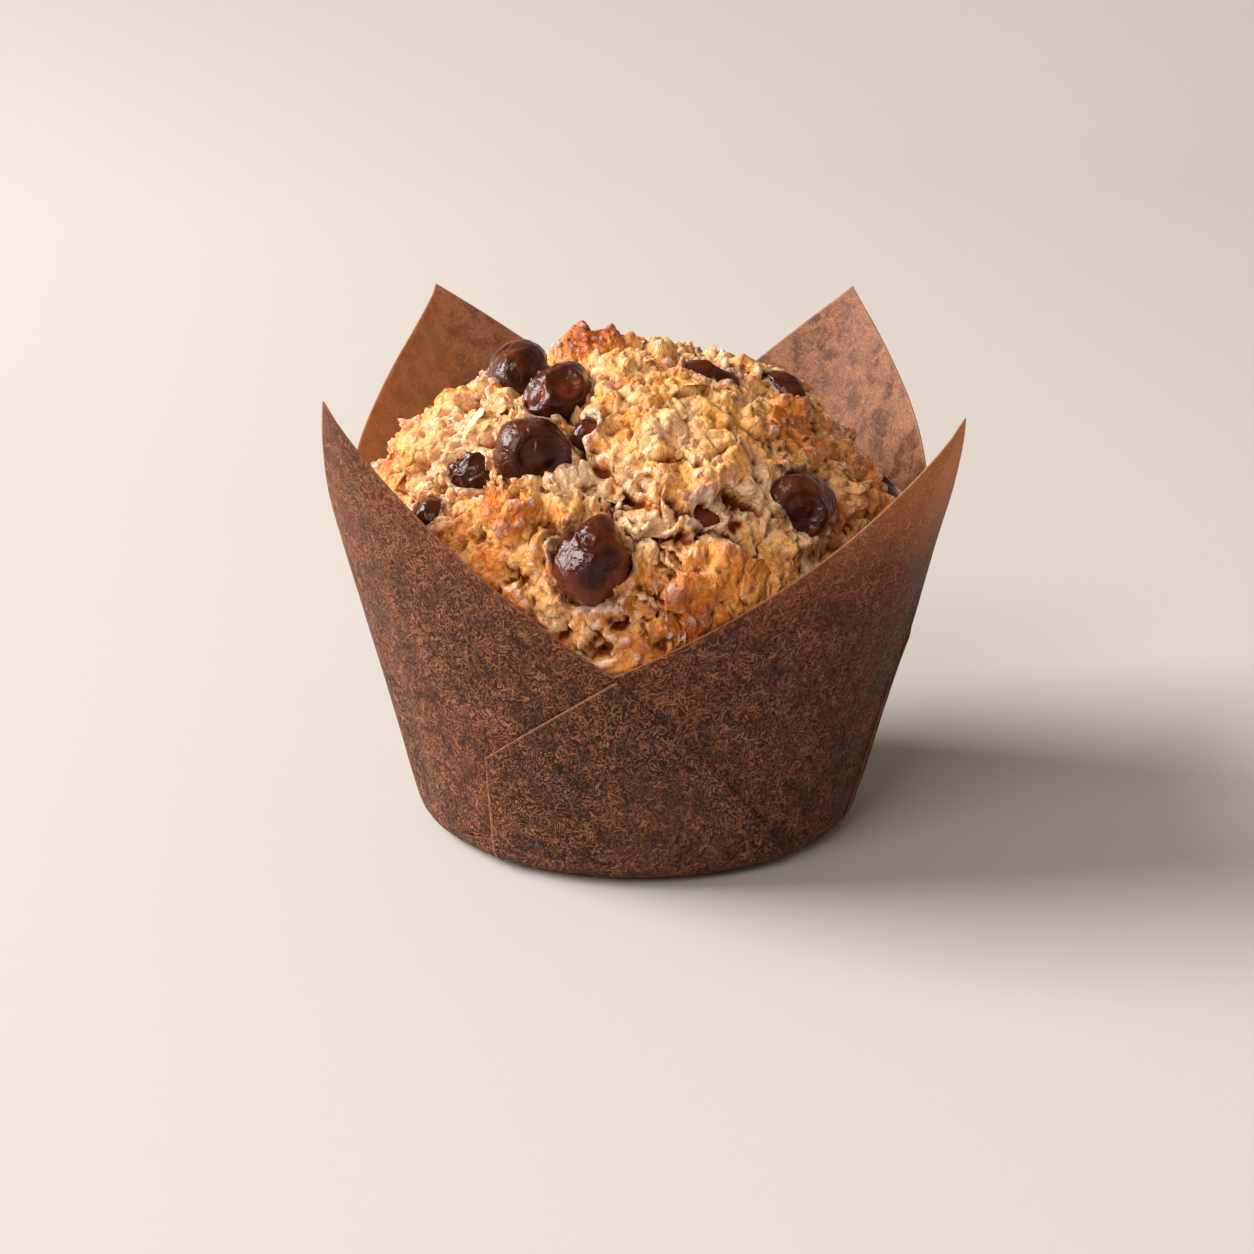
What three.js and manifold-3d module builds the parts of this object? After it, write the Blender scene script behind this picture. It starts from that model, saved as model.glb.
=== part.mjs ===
// Oat muffin with chocolate chips, baked in a tulip paper case.
// Millimetres, +Z up. The origin is the middle of the case's flat base, where the muffin rests.
// -Y is the front, where two points of the paper meet over a wide folded panel.
import * as THREE from "three";
import Module from "manifold-3d";

const wasm = await Module();
wasm.setup();

// Driving dimensions of the paper case.
const BASE_RADIUS = 29.6;
const WALL_SLOPE = 0.258; // outward run for each millimetre of rise
const BASE_CORNER = 3; // radius of the soft bend between base and wall
const PAPER = 0.8; // thickness of the paper, far thicker than real so that it is a sound solid
const CURL_START = 23.6; // height where the paper starts to curl away from the plain cone
const CURL_RISE = 35;
const CURL_MIDWAY = -0.33; // share of the curl halfway between two points, where it turns inward
const FOLD_PROUD = 0.7; // how far the folded panels stand off the wall

// Driving dimensions of the muffin.
const GAP = 0.3; // clearance between two pieces that touch
const DOME_FOOT = 33; // height of the dome's widest ring
const DOME_RADIUS = 37.4;
const DOME_RISE = 31.7;
const DOME_ROUNDNESS = 1.87; // exponent of the dome's outline: 2 is an ellipse, less is more pointed
const DOME_LEAN = [-2.9, -1.5]; // how far the top of the dome stands off the axis, along X and Y
const SKIN_STEP = 2.48; // spacing of the dome's vertices

// The four points of the square sheet. Azimuth is in degrees from +X, turning towards +Y, and
// curl is how far the paper stands out past the plain cone by the time it reaches the point.
const points = [
  { azimuth: -139.8, height: 62.8, curl: 2.3 },
  { azimuth: -36.5, height: 60.3, curl: 3 },
  { azimuth: 50, height: 66.3, curl: 1.8 },
  { azimuth: 125.8, height: 66, curl: 3.8 },
];
// The low middle of each side, between one point and the next. fall shapes the edge on its two
// sides: under 1 it drops fast beside the point, over 1 it drops late. near shortens the fold's
// reach on its straight side.
const valleys = [
  { azimuth: -94.6, height: 30.5, fall: [0.66, 0.63], near: 1 },
  { azimuth: -3, height: 36, fall: [1, 0.92], near: 0.6 },
  { azimuth: 85.4, height: 42, fall: [0.96, 0.96], near: 1 },
  { azimuth: -172.6, height: 37, fall: [0.8, 1], near: 1 },
];

// A folded panel's four corners, as azimuth from its valley and share of the valley's height.
const foldCorners = {
  upperNear: [-28.6, 0.563],
  upperFar: [0.7, 0.962],
  lowerNear: [-32.6, 0.063],
  lowerFar: [42.4, 0.053],
};

// Chocolate chips. azimuth and polar (degrees down from the top of the dome) place each one, and
// size is across, along and thick. turn swings the along axis round, proud is the share of the
// thickness that stands out of the crumb, and taper draws one end of the along axis out to a nib.
const chips = [
  { azimuth: -147, polar: 27, size: [8.2, 8.8, 7.4], turn: 20, proud: 0.62, taper: 0.1 },
  { azimuth: -115.5, polar: 32, size: [7, 9.8, 6.8], turn: -45, proud: 0.56, taper: 0.12 },
  { azimuth: -115, polar: 49.5, size: [9.6, 10.2, 8.8], turn: 150, proud: 0.54, taper: 0.08 },
  { azimuth: -100.5, polar: 43, size: [3.8, 4.8, 4.4], turn: -60, proud: 0.42, taper: 0 },
  { azimuth: -130.5, polar: 56.5, size: [5.4, 7, 5.4], turn: 60, proud: 0.36, taper: 0.1 },
  { azimuth: -138, polar: 67.5, size: [5, 6, 5], turn: 20, proud: 0.4, taper: 0 },
  { azimuth: -97.5, polar: 73, size: [9.6, 9.6, 8.4], turn: -12, proud: 0.54, taper: 0.3 },
  { azimuth: -48.5, polar: 63.5, size: [9.8, 9, 8], turn: -165, proud: 0.52, taper: 0.18 },
  { azimuth: -73, polar: 63.5, size: [6.4, 4.4, 4.6], turn: -5, proud: 0.28, taper: 0 },
  { azimuth: -36.5, polar: 27, size: [5, 8, 5.2], turn: 75, proud: 0.42, taper: 0 },
  { azimuth: -10, polar: 40, size: [6, 8, 6.4], turn: 45, proud: 0.52, taper: 0.1 },
  { azimuth: -12, polar: 70, size: [5.6, 6.4, 5.2], turn: 50, proud: 0.42, taper: 0 },
  { azimuth: 40, polar: 66, size: [8.4, 9.2, 7.6], turn: 110, proud: 0.46, taper: 0.2 },
  { azimuth: 66, polar: 45, size: [7.6, 8.6, 7.2], turn: 15, proud: 0.44, taper: 0.3 },
  { azimuth: 66, polar: 72, size: [5.8, 7.4, 5.6], turn: 70, proud: 0.42, taper: 0 },
  { azimuth: 92, polar: 57, size: [9, 9.4, 8.2], turn: 35, proud: 0.52, taper: 0.1 },
  { azimuth: 112, polar: 43, size: [6.2, 7.8, 6], turn: 140, proud: 0.42, taper: 0.1 },
  { azimuth: 114, polar: 73, size: [8, 8.4, 7.4], turn: 85, proud: 0.48, taper: 0.3 },
  { azimuth: 136, polar: 56, size: [7.4, 9, 7], turn: 25, proud: 0.48, taper: 0.15 },
  { azimuth: 155, polar: 72, size: [6, 6.6, 5.6], turn: 0, proud: 0.42, taper: 0 },
  { azimuth: 98, polar: 33, size: [5.6, 6.4, 5.2], turn: 95, proud: 0.32, taper: 0.1 },
];

// The clumps of crust that give the dome its outline: place, width in degrees of arc, and height.
const clumps = [
  { azimuth: -172, polar: 8, width: 9, height: 4.3 },
  { azimuth: -60, polar: 24, width: 26, height: 1.2 },
  { azimuth: -35, polar: 47, width: 12, height: 2.8 },
  { azimuth: -21, polar: 57, width: 17, height: 1.8 },
  { azimuth: -172, polar: 62, width: 12, height: 2.8 },
  { azimuth: -151, polar: 49, width: 16, height: 1.4 },
  { azimuth: -119, polar: 76, width: 18, height: 2.8 },
  { azimuth: -84, polar: 84, width: 16, height: 2.6 },
  { azimuth: -60, polar: 79, width: 15, height: 1.8 },
  { azimuth: -73, polar: 54, width: 12, height: 2.2 },
  { azimuth: -112, polar: 63, width: 12, height: 1.8 },
  { azimuth: -5, polar: 75, width: 20, height: 2 },
  { azimuth: 30, polar: 52, width: 20, height: 1.5 },
  { azimuth: 70, polar: 36, width: 18, height: 1.2 },
  { azimuth: 78, polar: 76, width: 22, height: 2.4 },
  { azimuth: 118, polar: 55, width: 22, height: 2.2 },
  { azimuth: 135, polar: 80, width: 19, height: 2.2 },
  { azimuth: -175, polar: 80, width: 20, height: 2.2 },
];

// Small lumps of oat batter all over the dome, spread evenly by a golden-angle spiral.
const LUMPS = 170;
const LUMP_WIDTH = [5.5, 11]; // degrees of arc
const LUMP_HEIGHT = [1, 3.2];
const BLEND = 5; // how sharply neighbouring lumps meet: more is sharper
const CRUST_DEPTH = 2.4; // what the lumps and clumps add on average, taken off again

// Plates of crust that tore free while the dome rose. Each follows the dome and stands above the
// crumb round it: place, length and width in millimetres, turn of the length, and how proud.
const plates = [
  { azimuth: -72, polar: 41.5, length: 31, width: 23.5, turn: -41, proud: 1.8 },
  { azimuth: -124, polar: 74, length: 19, width: 12, turn: 10, proud: 1.4 },
  { azimuth: -70, polar: 79, length: 17, width: 11, turn: 5, proud: 1.3 },
  { azimuth: -158, polar: 50, length: 16, width: 12, turn: 60, proud: 1.2 },
  { azimuth: 8, polar: 38, length: 19, width: 13, turn: 25, proud: 1.2 },
  { azimuth: 56, polar: 54, length: 19, width: 12, turn: -50, proud: 1.5 },
  { azimuth: 128, polar: 60, length: 21, width: 13, turn: 15, proud: 1.5 },
];

// Oat flakes that lie on the crust and are baked into it.
const FLAKES = 46;
const FLAKE_LENGTH = [4.4, 6.6];
const FLAKE_THICKNESS = 1.1;
const FLAKE_LOWEST = 74; // no flake further down than this many degrees from the top

const radians = THREE.MathUtils.degToRad;
const lerp = THREE.MathUtils.lerp;
const clamp = THREE.MathUtils.clamp;

// A repeatable number from 0 to 1 for each pair of whole numbers.
function draw(index, channel) {
  const wave = Math.sin(index * 127.1 + channel * 311.7) * 43758.5453;
  return wave - Math.floor(wave);
}

// The direction that lies polar degrees down from +Z at an azimuth, as a unit vector.
function direction(azimuth, polar) {
  return new THREE.Vector3().setFromSphericalCoords(1, radians(polar), radians(azimuth + 90))
    .applyAxisAngle(new THREE.Vector3(1, 0, 0), Math.PI / 2);
}

// A closed skin from one end point, through rings of points, to the other end point.
// Every ring turns anticlockwise seen from the first end, and rings may differ in their counts.
function closedSkin(first, rings, last) {
  const vertices = [first, ...rings.flat(), last];
  const triangles = [];
  const starts = rings.map((_, k) => 1 + rings.slice(0, k).reduce((sum, ring) => sum + ring.length, 0));
  const at = (k, i) => starts[k] + (i % rings[k].length);
  const end = vertices.length - 1;
  rings[0].forEach((_, i) => triangles.push(0, at(0, i), at(0, i + 1)));
  for (let k = 0; k + 1 < rings.length; k += 1) {
    const upper = rings[k].length;
    const lower = rings[k + 1].length;
    let i = 0;
    let j = 0;
    while (i < upper || j < lower) {
      const stepUpper = j >= lower || (i < upper && (i + 1) * lower <= (j + 1) * upper);
      if (stepUpper) {
        triangles.push(at(k, i), at(k + 1, j), at(k, i + 1));
        i += 1;
      } else {
        triangles.push(at(k, i), at(k + 1, j), at(k + 1, j + 1));
        j += 1;
      }
    }
  }
  const bottom = rings.length - 1;
  rings[bottom].forEach((_, i) => triangles.push(at(bottom, i), end, at(bottom, i + 1)));
  return { vertices, triangles };
}

// The skin as a solid that can be joined and cut.
function solidOf({ vertices, triangles }) {
  return new wasm.Manifold(new wasm.Mesh({
    numProp: 3,
    vertProperties: new Float32Array(vertices.flatMap((v) => [v.x, v.y, v.z])),
    triVerts: new Uint32Array(triangles),
  }));
}

// A joined or cut solid as geometry that three.js can show.
function geometryOf(solid) {
  const mesh = solid.getMesh();
  const corners = new Float32Array(mesh.numVert * 3);
  for (let v = 0; v < mesh.numVert; v += 1) {
    for (let axis = 0; axis < 3; axis += 1) {
      corners[v * 3 + axis] = mesh.vertProperties[v * mesh.numProp + axis];
    }
  }
  const geometry = new THREE.BufferGeometry();
  geometry.setAttribute("position", new THREE.BufferAttribute(corners, 3));
  geometry.setIndex(new THREE.BufferAttribute(new Uint32Array(mesh.triVerts), 1));
  geometry.computeVertexNormals();
  return geometry;
}

function namedMesh(name, geometry, colour, roughness) {
  const material = new THREE.MeshStandardMaterial({ color: colour, roughness, metalness: 0 });
  const mesh = new THREE.Mesh(geometry, material);
  mesh.name = name;
  return mesh;
}

// The turn from one azimuth to another, from -180 to 180 degrees.
function turnBetween(from, to) {
  return THREE.MathUtils.euclideanModulo(to - from + 180, 360) - 180;
}

// How far the paper curls out at the top, at an azimuth: most at a point, inward midway.
function curlAt(azimuth) {
  const turns = points.map((p) => Math.abs(turnBetween(p.azimuth, azimuth)));
  const weights = turns.map((turn) => Math.max(0.001, 1 - turn / 60) ** 2);
  const total = weights.reduce((sum, weight) => sum + weight, 0);
  const full = points.reduce((sum, p, k) => sum + (p.curl * weights[k]) / total, 0);
  const nearness = Math.max(0, 1 - Math.min(...turns) / 45);
  return full * lerp(CURL_MIDWAY, 1, nearness ** 1.45);
}

// Outside radius of the paper at a height: a rounded corner, a cone, and a curl towards each point.
function paperRadius(azimuth, height) {
  const cone = BASE_RADIUS + WALL_SLOPE * height;
  const below = Math.max(0, BASE_CORNER - height);
  const corner = BASE_CORNER - Math.sqrt(BASE_CORNER ** 2 - below ** 2);
  const rise = Math.max(0, height - CURL_START) / CURL_RISE;
  return cone - corner + curlAt(azimuth) * rise ** 2;
}

// Height of the paper's free edge: it falls from the nearest point to the valley beside it.
function edgeHeight(azimuth) {
  for (const [k, valley] of valleys.entries()) {
    const turn = turnBetween(valley.azimuth, azimuth);
    const before = points[k];
    const after = points[(k + 1) % points.length];
    const spanBefore = turnBetween(before.azimuth, valley.azimuth);
    const spanAfter = turnBetween(valley.azimuth, after.azimuth);
    if (turn < -spanBefore || turn > spanAfter) continue;
    const [peak, span, fall] = turn < 0
      ? [before, spanBefore, valley.fall[0]]
      : [after, spanAfter, valley.fall[1]];
    const fromPeak = 1 - Math.abs(turn) / span;
    return peak.height - (peak.height - valley.height) * fromPeak ** fall;
  }
  throw new Error(`no side of the sheet holds azimuth ${azimuth}`);
}

function onPaper(azimuth, height, offset) {
  const radius = paperRadius(azimuth, height) + offset;
  const turn = radians(azimuth);
  return new THREE.Vector3(radius * Math.cos(turn), radius * Math.sin(turn), height);
}

// Azimuths for the case's columns: each point and valley gets a column of its own.
function caseAzimuths(perSpan) {
  const marks = [];
  for (const [k, valley] of valleys.entries()) marks.push(points[k].azimuth, valley.azimuth);
  return marks.flatMap((mark, k) => {
    const span = turnBetween(mark, marks[(k + 1) % marks.length]);
    return Array.from({ length: perSpan }, (_, i) => mark + (span * i) / perSpan);
  });
}

// The sheet pressed into a cup: flat base, rounded corner, and a wall that ends in four points.
function makeSheet() {
  const columns = caseAzimuths(8);
  const flatRadius = BASE_RADIUS - BASE_CORNER;
  const outerHeights = [0.25 * BASE_CORNER, BASE_CORNER];
  const innerCorner = [BASE_CORNER, PAPER + 0.12 * BASE_CORNER];
  const wallShares = [0.25, 0.5, 0.7, 0.85, 1];
  const floorRing = (radius, height) => columns.map((a) => new THREE.Vector3(
    radius * Math.cos(radians(a)), radius * Math.sin(radians(a)), height));
  const wallRing = (share, offset) => columns.map((a) => (
    onPaper(a, lerp(BASE_CORNER, edgeHeight(a), share), offset)));
  const rings = [
    floorRing(flatRadius, 0),
    ...outerHeights.map((h) => columns.map((a) => onPaper(a, h, 0))),
    ...wallShares.map((share) => wallRing(share, 0)),
    ...wallShares.toReversed().map((share) => wallRing(share, -PAPER)),
    ...innerCorner.map((h) => columns.map((a) => onPaper(a, h, -PAPER))),
    floorRing(flatRadius - PAPER, PAPER),
  ];
  const skin = closedSkin(new THREE.Vector3(0, 0, 0), rings, new THREE.Vector3(0, 0, PAPER));
  skin.triangles.reverse(); // the rings run outside first, from the base up
  return solidOf(skin);
}

// A thin slab between two faces of the same grid, the first of which looks out. Each face is a list
// of columns, left to right seen from outside, and each column a list of points, low to high.
function slabSkin(outer, inner) {
  const columns = outer.length;
  const rows = outer[0].length;
  const inside = columns * rows;
  const at = (i, j) => i * rows + j;
  const triangles = [];
  for (let i = 0; i + 1 < columns; i += 1) {
    for (let j = 0; j + 1 < rows; j += 1) {
      const [a, b, c, d] = [at(i, j), at(i + 1, j), at(i + 1, j + 1), at(i, j + 1)];
      triangles.push(a, b, c, a, c, d);
      triangles.push(inside + c, inside + b, inside + a, inside + d, inside + c, inside + a);
    }
  }
  const border = [];
  for (let i = 0; i + 1 < columns; i += 1) border.push(at(i, 0));
  for (let j = 0; j + 1 < rows; j += 1) border.push(at(columns - 1, j));
  for (let i = columns - 1; i > 0; i -= 1) border.push(at(i, rows - 1));
  for (let j = rows - 1; j > 0; j -= 1) border.push(at(0, j));
  border.forEach((from, k) => {
    const to = border[(k + 1) % border.length];
    triangles.push(to, from, inside + from, to, inside + from, inside + to);
  });
  return { vertices: [...outer.flat(), ...inner.flat()], triangles };
}

// One folded panel: the spare paper at a valley, laid flat over the wall beside it.
function makeFold(valley) {
  const columns = 8;
  const rows = 2;
  const { upperNear, upperFar, lowerNear, lowerFar } = foldCorners;
  const shortened = ([turn, share]) => [turn < 0 ? turn * valley.near : turn, share];
  const corner = (u, v) => [0, 1].map((k) => lerp(
    lerp(shortened(lowerNear)[k], lowerFar[k], u), lerp(shortened(upperNear)[k], upperFar[k], u), v));
  const face = (offset) => Array.from({ length: columns + 1 }, (_, i) => (
    Array.from({ length: rows + 1 }, (__, j) => {
      const [turn, share] = corner(i / columns, j / rows);
      return onPaper(valley.azimuth + turn, share * valley.height, offset);
    })));
  return solidOf(slabSkin(face(FOLD_PROUD), face(-PAPER / 2)));
}

// A rounded bump: its height over the middle, falling steeply to nothing at its edge.
function bump(distance, width, height) {
  const share = distance / width;
  return share >= 1 ? 0 : height * Math.sqrt(1 - share * share);
}

const lumps = Array.from({ length: LUMPS }, (_, i) => ({
  middle: direction(i * 137.508, 6 + 96 * Math.sqrt((i + 0.5 * draw(i, 1)) / LUMPS)),
  width: radians(lerp(...LUMP_WIDTH, draw(i, 2))),
  height: lerp(...LUMP_HEIGHT, draw(i, 3)),
}));
const clumpShapes = clumps.map(({ azimuth, polar, width, height }) => ({
  middle: direction(azimuth, polar),
  width: radians(width),
  height,
}));

// Bumps that overlap join in a crease: the root of the sum of their powers.
function joined(shapes, toward) {
  const sum = shapes.reduce((total, { middle, width, height }) => (
    total + bump(middle.angleTo(toward), width, height) ** BLEND), 0);
  return sum ** (1 / BLEND);
}

// How far the crust stands off the smooth dome in one direction.
function relief(toward) {
  return joined(clumpShapes, toward) + joined(lumps, toward) - CRUST_DEPTH;
}

// Distance from the dome's middle to its smooth outline, at an angle down from the top.
function domeReach(polar) {
  const across = Math.abs(Math.sin(polar) / DOME_RADIUS) ** DOME_ROUNDNESS;
  const up = Math.abs(Math.cos(polar) / DOME_RISE) ** DOME_ROUNDNESS;
  return (across + up) ** (-1 / DOME_ROUNDNESS);
}

// The point at a height over the smooth dome. The dome leans: its top stands off the axis.
function offDome(toward, lift) {
  const point = toward.clone().multiplyScalar(domeReach(Math.acos(toward.z)) + lift);
  const share = clamp(point.z / DOME_RISE, 0, 1);
  return point.add(new THREE.Vector3(DOME_LEAN[0] * share, DOME_LEAN[1] * share, DOME_FOOT));
}

// The same point, kept clear of the paper where it stands beside.
function overDome(toward, lift) {
  const point = offDome(toward, lift);
  const azimuth = THREE.MathUtils.radToDeg(Math.atan2(point.y, point.x));
  const limit = paperRadius(azimuth, point.z) - PAPER - GAP;
  const across = Math.hypot(point.x, point.y);
  if (across > limit) {
    point.x *= limit / across;
    point.y *= limit / across;
  }
  return point;
}

function onCrust(azimuth, polar) {
  const toward = direction(azimuth, polar);
  return overDome(toward, relief(toward));
}

// The muffin before chips and flakes: a dome of crust on a plain cone that fills the case.
function makeCrumb() {
  const rings = [];
  let polar = 0;
  while (polar < 88) {
    const reach = domeReach(radians(polar));
    polar = Math.min(88, polar + THREE.MathUtils.radToDeg(SKIN_STEP / reach));
    const around = 2 * Math.PI * reach * Math.sin(radians(polar));
    const count = Math.max(8, Math.round(around / SKIN_STEP));
    const here = polar;
    rings.push(Array.from({ length: count }, (_, i) => onCrust((i * 360) / count, here)));
  }
  const floor = PAPER + GAP;
  const wallHeights = [27, 17, 9, BASE_CORNER + floor];
  for (const [k, height] of wallHeights.entries()) {
    const count = 84 - 12 * k;
    rings.push(Array.from({ length: count }, (_, i) => (
      onPaper((i * 360) / count, height, -PAPER - GAP))));
  }
  const footRadius = BASE_RADIUS - BASE_CORNER;
  rings.push(Array.from({ length: 48 }, (_, i) => {
    const turn = (i * 2 * Math.PI) / 48;
    return new THREE.Vector3(footRadius * Math.cos(turn), footRadius * Math.sin(turn), floor);
  }));
  return solidOf(closedSkin(onCrust(0, 0), rings, new THREE.Vector3(0, 0, floor)));
}

// A chip's own place: sunk into the dome along the line from the dome's middle, and turned about it.
function placeOnDome({ azimuth, polar, size, turn, proud }) {
  const toward = direction(azimuth, polar);
  return new THREE.Matrix4().compose(
    offDome(toward, size[2] * (proud - 0.5)),
    standing(toward, turn),
    new THREE.Vector3(1, 1, 1),
  );
}

// A softened chocolate chip: an egg shape with an uneven girth and, on some, a blunt nib.
// grow makes it larger all round, for the pocket that it sits in.
function chipSkin(chip, index, grow) {
  const around = 10;
  const bands = 6;
  const [across, along, thick] = chip.size.map((s) => s / 2 + grow);
  const ring = (k) => Array.from({ length: around }, (_, i) => {
    const polar = (Math.PI * k) / bands;
    const turn = (2 * Math.PI * i) / around;
    const uneven = 1 + 0.07 * Math.sin(2 * turn + index) + 0.05 * Math.sin(3 * turn + 2 * index);
    const toNib = Math.max(0, Math.sin(polar) * Math.sin(turn));
    return new THREE.Vector3(
      across * Math.sin(polar) * Math.cos(turn) * uneven,
      along * Math.sin(polar) * Math.sin(turn) * uneven * (1 + chip.taper * toNib ** 3),
      thick * Math.cos(polar),
    );
  });
  const rings = Array.from({ length: bands - 1 }, (_, k) => ring(k + 1));
  const top = new THREE.Vector3(0, 0, thick);
  const skin = closedSkin(top, rings, new THREE.Vector3(0, 0, -thick));
  const place = placeOnDome(chip);
  skin.vertices.forEach((v) => v.applyMatrix4(place));
  return skin;
}

// The turn that stands a shape's own +Z along a direction, after a spin about that +Z.
function standing(toward, spin) {
  const up = new THREE.Vector3(0, 0, 1);
  return new THREE.Quaternion().setFromUnitVectors(up, toward)
    .multiply(new THREE.Quaternion().setFromAxisAngle(up, radians(spin)));
}

// A plate of crust: the crumb's own surface lifted, over a patch with a ragged outline.
function makePlate(plate, index) {
  const around = 14;
  const middle = direction(plate.azimuth, plate.polar);
  const lie = standing(middle, plate.turn);
  const place = (share, turn, lift) => {
    const ragged = 1 + 0.13 * Math.sin(3 * turn + index) + 0.09 * Math.sin(5 * turn + 2 * index);
    const toward = new THREE.Vector3(
      (share * ragged * plate.length * Math.cos(turn)) / 2 / DOME_RADIUS,
      (share * ragged * plate.width * Math.sin(turn)) / 2 / DOME_RADIUS,
      1,
    ).applyQuaternion(lie).normalize();
    return overDome(toward, relief(toward) + lift);
  };
  const ring = (share, lift) => Array.from({ length: around }, (_, i) => (
    place(share, (2 * Math.PI * i) / around, lift)));
  const { proud } = plate;
  const rings = [ring(0.45, proud), ring(0.82, proud), ring(1, proud * 0.7), ring(0.92, -0.8)];
  return solidOf(closedSkin(place(0, 0, proud), rings, place(0, 0, -2.5)));
}

// An oat flake: a thin lens, longer than wide, lying tilted on the crust.
function makeFlake(index) {
  const polar = FLAKE_LOWEST * Math.sqrt((index + 0.5) / FLAKES);
  const azimuth = index * 137.508 + 40 * draw(index, 11);
  const toward = direction(azimuth, polar);
  const length = lerp(...FLAKE_LENGTH, draw(index, 12));
  const nearChip = chips.some((chip) => {
    const apart = toward.angleTo(direction(chip.azimuth, chip.polar)) * DOME_RADIUS;
    return apart < Math.max(chip.size[0], chip.size[1]) / 2 + length / 2 + 0.6;
  });
  const nearPlate = plates.some((plate) => (
    toward.angleTo(direction(plate.azimuth, plate.polar)) * DOME_RADIUS < plate.length / 2));
  if (nearChip || nearPlate) return null;
  const around = 8;
  const rim = (share, height) => Array.from({ length: around }, (_, i) => {
    const turn = (2 * Math.PI * i) / around;
    return new THREE.Vector3(
      (share * length * Math.cos(turn)) / 2,
      share * length * 0.34 * Math.sin(turn),
      height,
    );
  });
  const half = FLAKE_THICKNESS / 2;
  const skin = closedSkin(
    new THREE.Vector3(0, 0, half),
    [rim(0.85, half), rim(1, 0), rim(0.85, -half)],
    new THREE.Vector3(0, 0, -half),
  );
  const tilt = new THREE.Quaternion().setFromEuler(new THREE.Euler(
    radians(lerp(-16, 16, draw(index, 13))), radians(lerp(-16, 16, draw(index, 14))), 0));
  const lie = standing(toward, 0).multiply(tilt).multiply(
    new THREE.Quaternion().setFromAxisAngle(new THREE.Vector3(0, 0, 1), 2 * Math.PI * draw(index, 15)));
  const place = new THREE.Matrix4().compose(
    overDome(toward, relief(toward) + 0.25), lie, new THREE.Vector3(1, 1, 1));
  skin.vertices.forEach((v) => v.applyMatrix4(place));
  return solidOf(skin);
}

// The muffin itself: crumb with its plates and flakes joined on and a pocket cut for each chip.
function makeMuffin() {
  const flakes = Array.from({ length: FLAKES }, (_, i) => makeFlake(i)).filter(Boolean);
  const crusts = plates.map(makePlate);
  const withFlakes = [...crusts, ...flakes].reduce((solid, piece) => solid.add(piece), makeCrumb());
  const pocketed = chips.reduce((solid, chip, i) => (
    solid.subtract(solidOf(chipSkin(chip, i, GAP)))), withFlakes);
  const pieces = pocketed.decompose();
  return pieces.reduce((largest, piece) => (piece.volume() > largest.volume() ? piece : largest));
}

const group = new THREE.Group();

const paperCase = valleys.reduce((solid, valley) => solid.add(makeFold(valley)), makeSheet());
group.add(namedMesh("paper_case", geometryOf(paperCase), 0x54362a, 0.65));
group.add(namedMesh("muffin_crumb", geometryOf(makeMuffin()), 0xcf9a5a, 0.8));
chips.forEach((chip, i) => {
  const name = `chocolate_chip_${String(i + 1).padStart(2, "0")}`;
  group.add(namedMesh(name, geometryOf(solidOf(chipSkin(chip, i, 0))), 0x35201a, 0.3));
});

export default group;
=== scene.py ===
import math

import bpy
import numpy as np
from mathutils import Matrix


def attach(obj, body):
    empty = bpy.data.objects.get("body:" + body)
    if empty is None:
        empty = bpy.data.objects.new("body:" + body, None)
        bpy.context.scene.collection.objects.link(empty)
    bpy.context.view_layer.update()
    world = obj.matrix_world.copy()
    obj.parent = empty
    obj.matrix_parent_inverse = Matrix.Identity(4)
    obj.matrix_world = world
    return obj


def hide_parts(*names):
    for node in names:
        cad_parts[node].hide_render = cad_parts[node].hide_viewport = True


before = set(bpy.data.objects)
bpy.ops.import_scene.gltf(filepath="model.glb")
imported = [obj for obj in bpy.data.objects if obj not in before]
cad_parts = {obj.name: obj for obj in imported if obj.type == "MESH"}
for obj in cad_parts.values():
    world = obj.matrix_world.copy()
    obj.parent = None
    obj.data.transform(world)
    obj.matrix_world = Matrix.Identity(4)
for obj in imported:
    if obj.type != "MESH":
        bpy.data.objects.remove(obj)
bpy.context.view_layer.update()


# Camera: at the photo's angle, level across, a little above the muffin and looking down on it.
# It stands 300 mm from the middle of the base, 22 degrees up, with the view 17.4 degrees down.
camera_data = bpy.data.cameras.new("camera")
camera_data.sensor_width = 36
camera_data.lens = 61.15
camera_data.clip_start = 0.01
camera = bpy.data.objects.new("camera", camera_data)
camera.location = (0, -0.2782, 0.1124)
camera.rotation_euler = (math.radians(90 - 17.4), 0, math.radians(0.32))
bpy.context.collection.objects.link(camera)
bpy.context.scene.camera = camera
bpy.context.scene.view_settings.view_transform = "Standard"


# Floor: a plain pale matt surface, far larger than the view, which curves up into a low wall all
# round so that its far edge never shows.
def srgb(red, green, blue):
    """A display colour, 0 to 255, as the linear colour that a shader takes."""
    channels = []
    for value in (red, green, blue):
        share = value / 255
        channels.append(share / 12.92 if share <= 0.04045 else ((share + 0.055) / 1.055) ** 2.4)
    return (*channels, 1.0)


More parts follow.
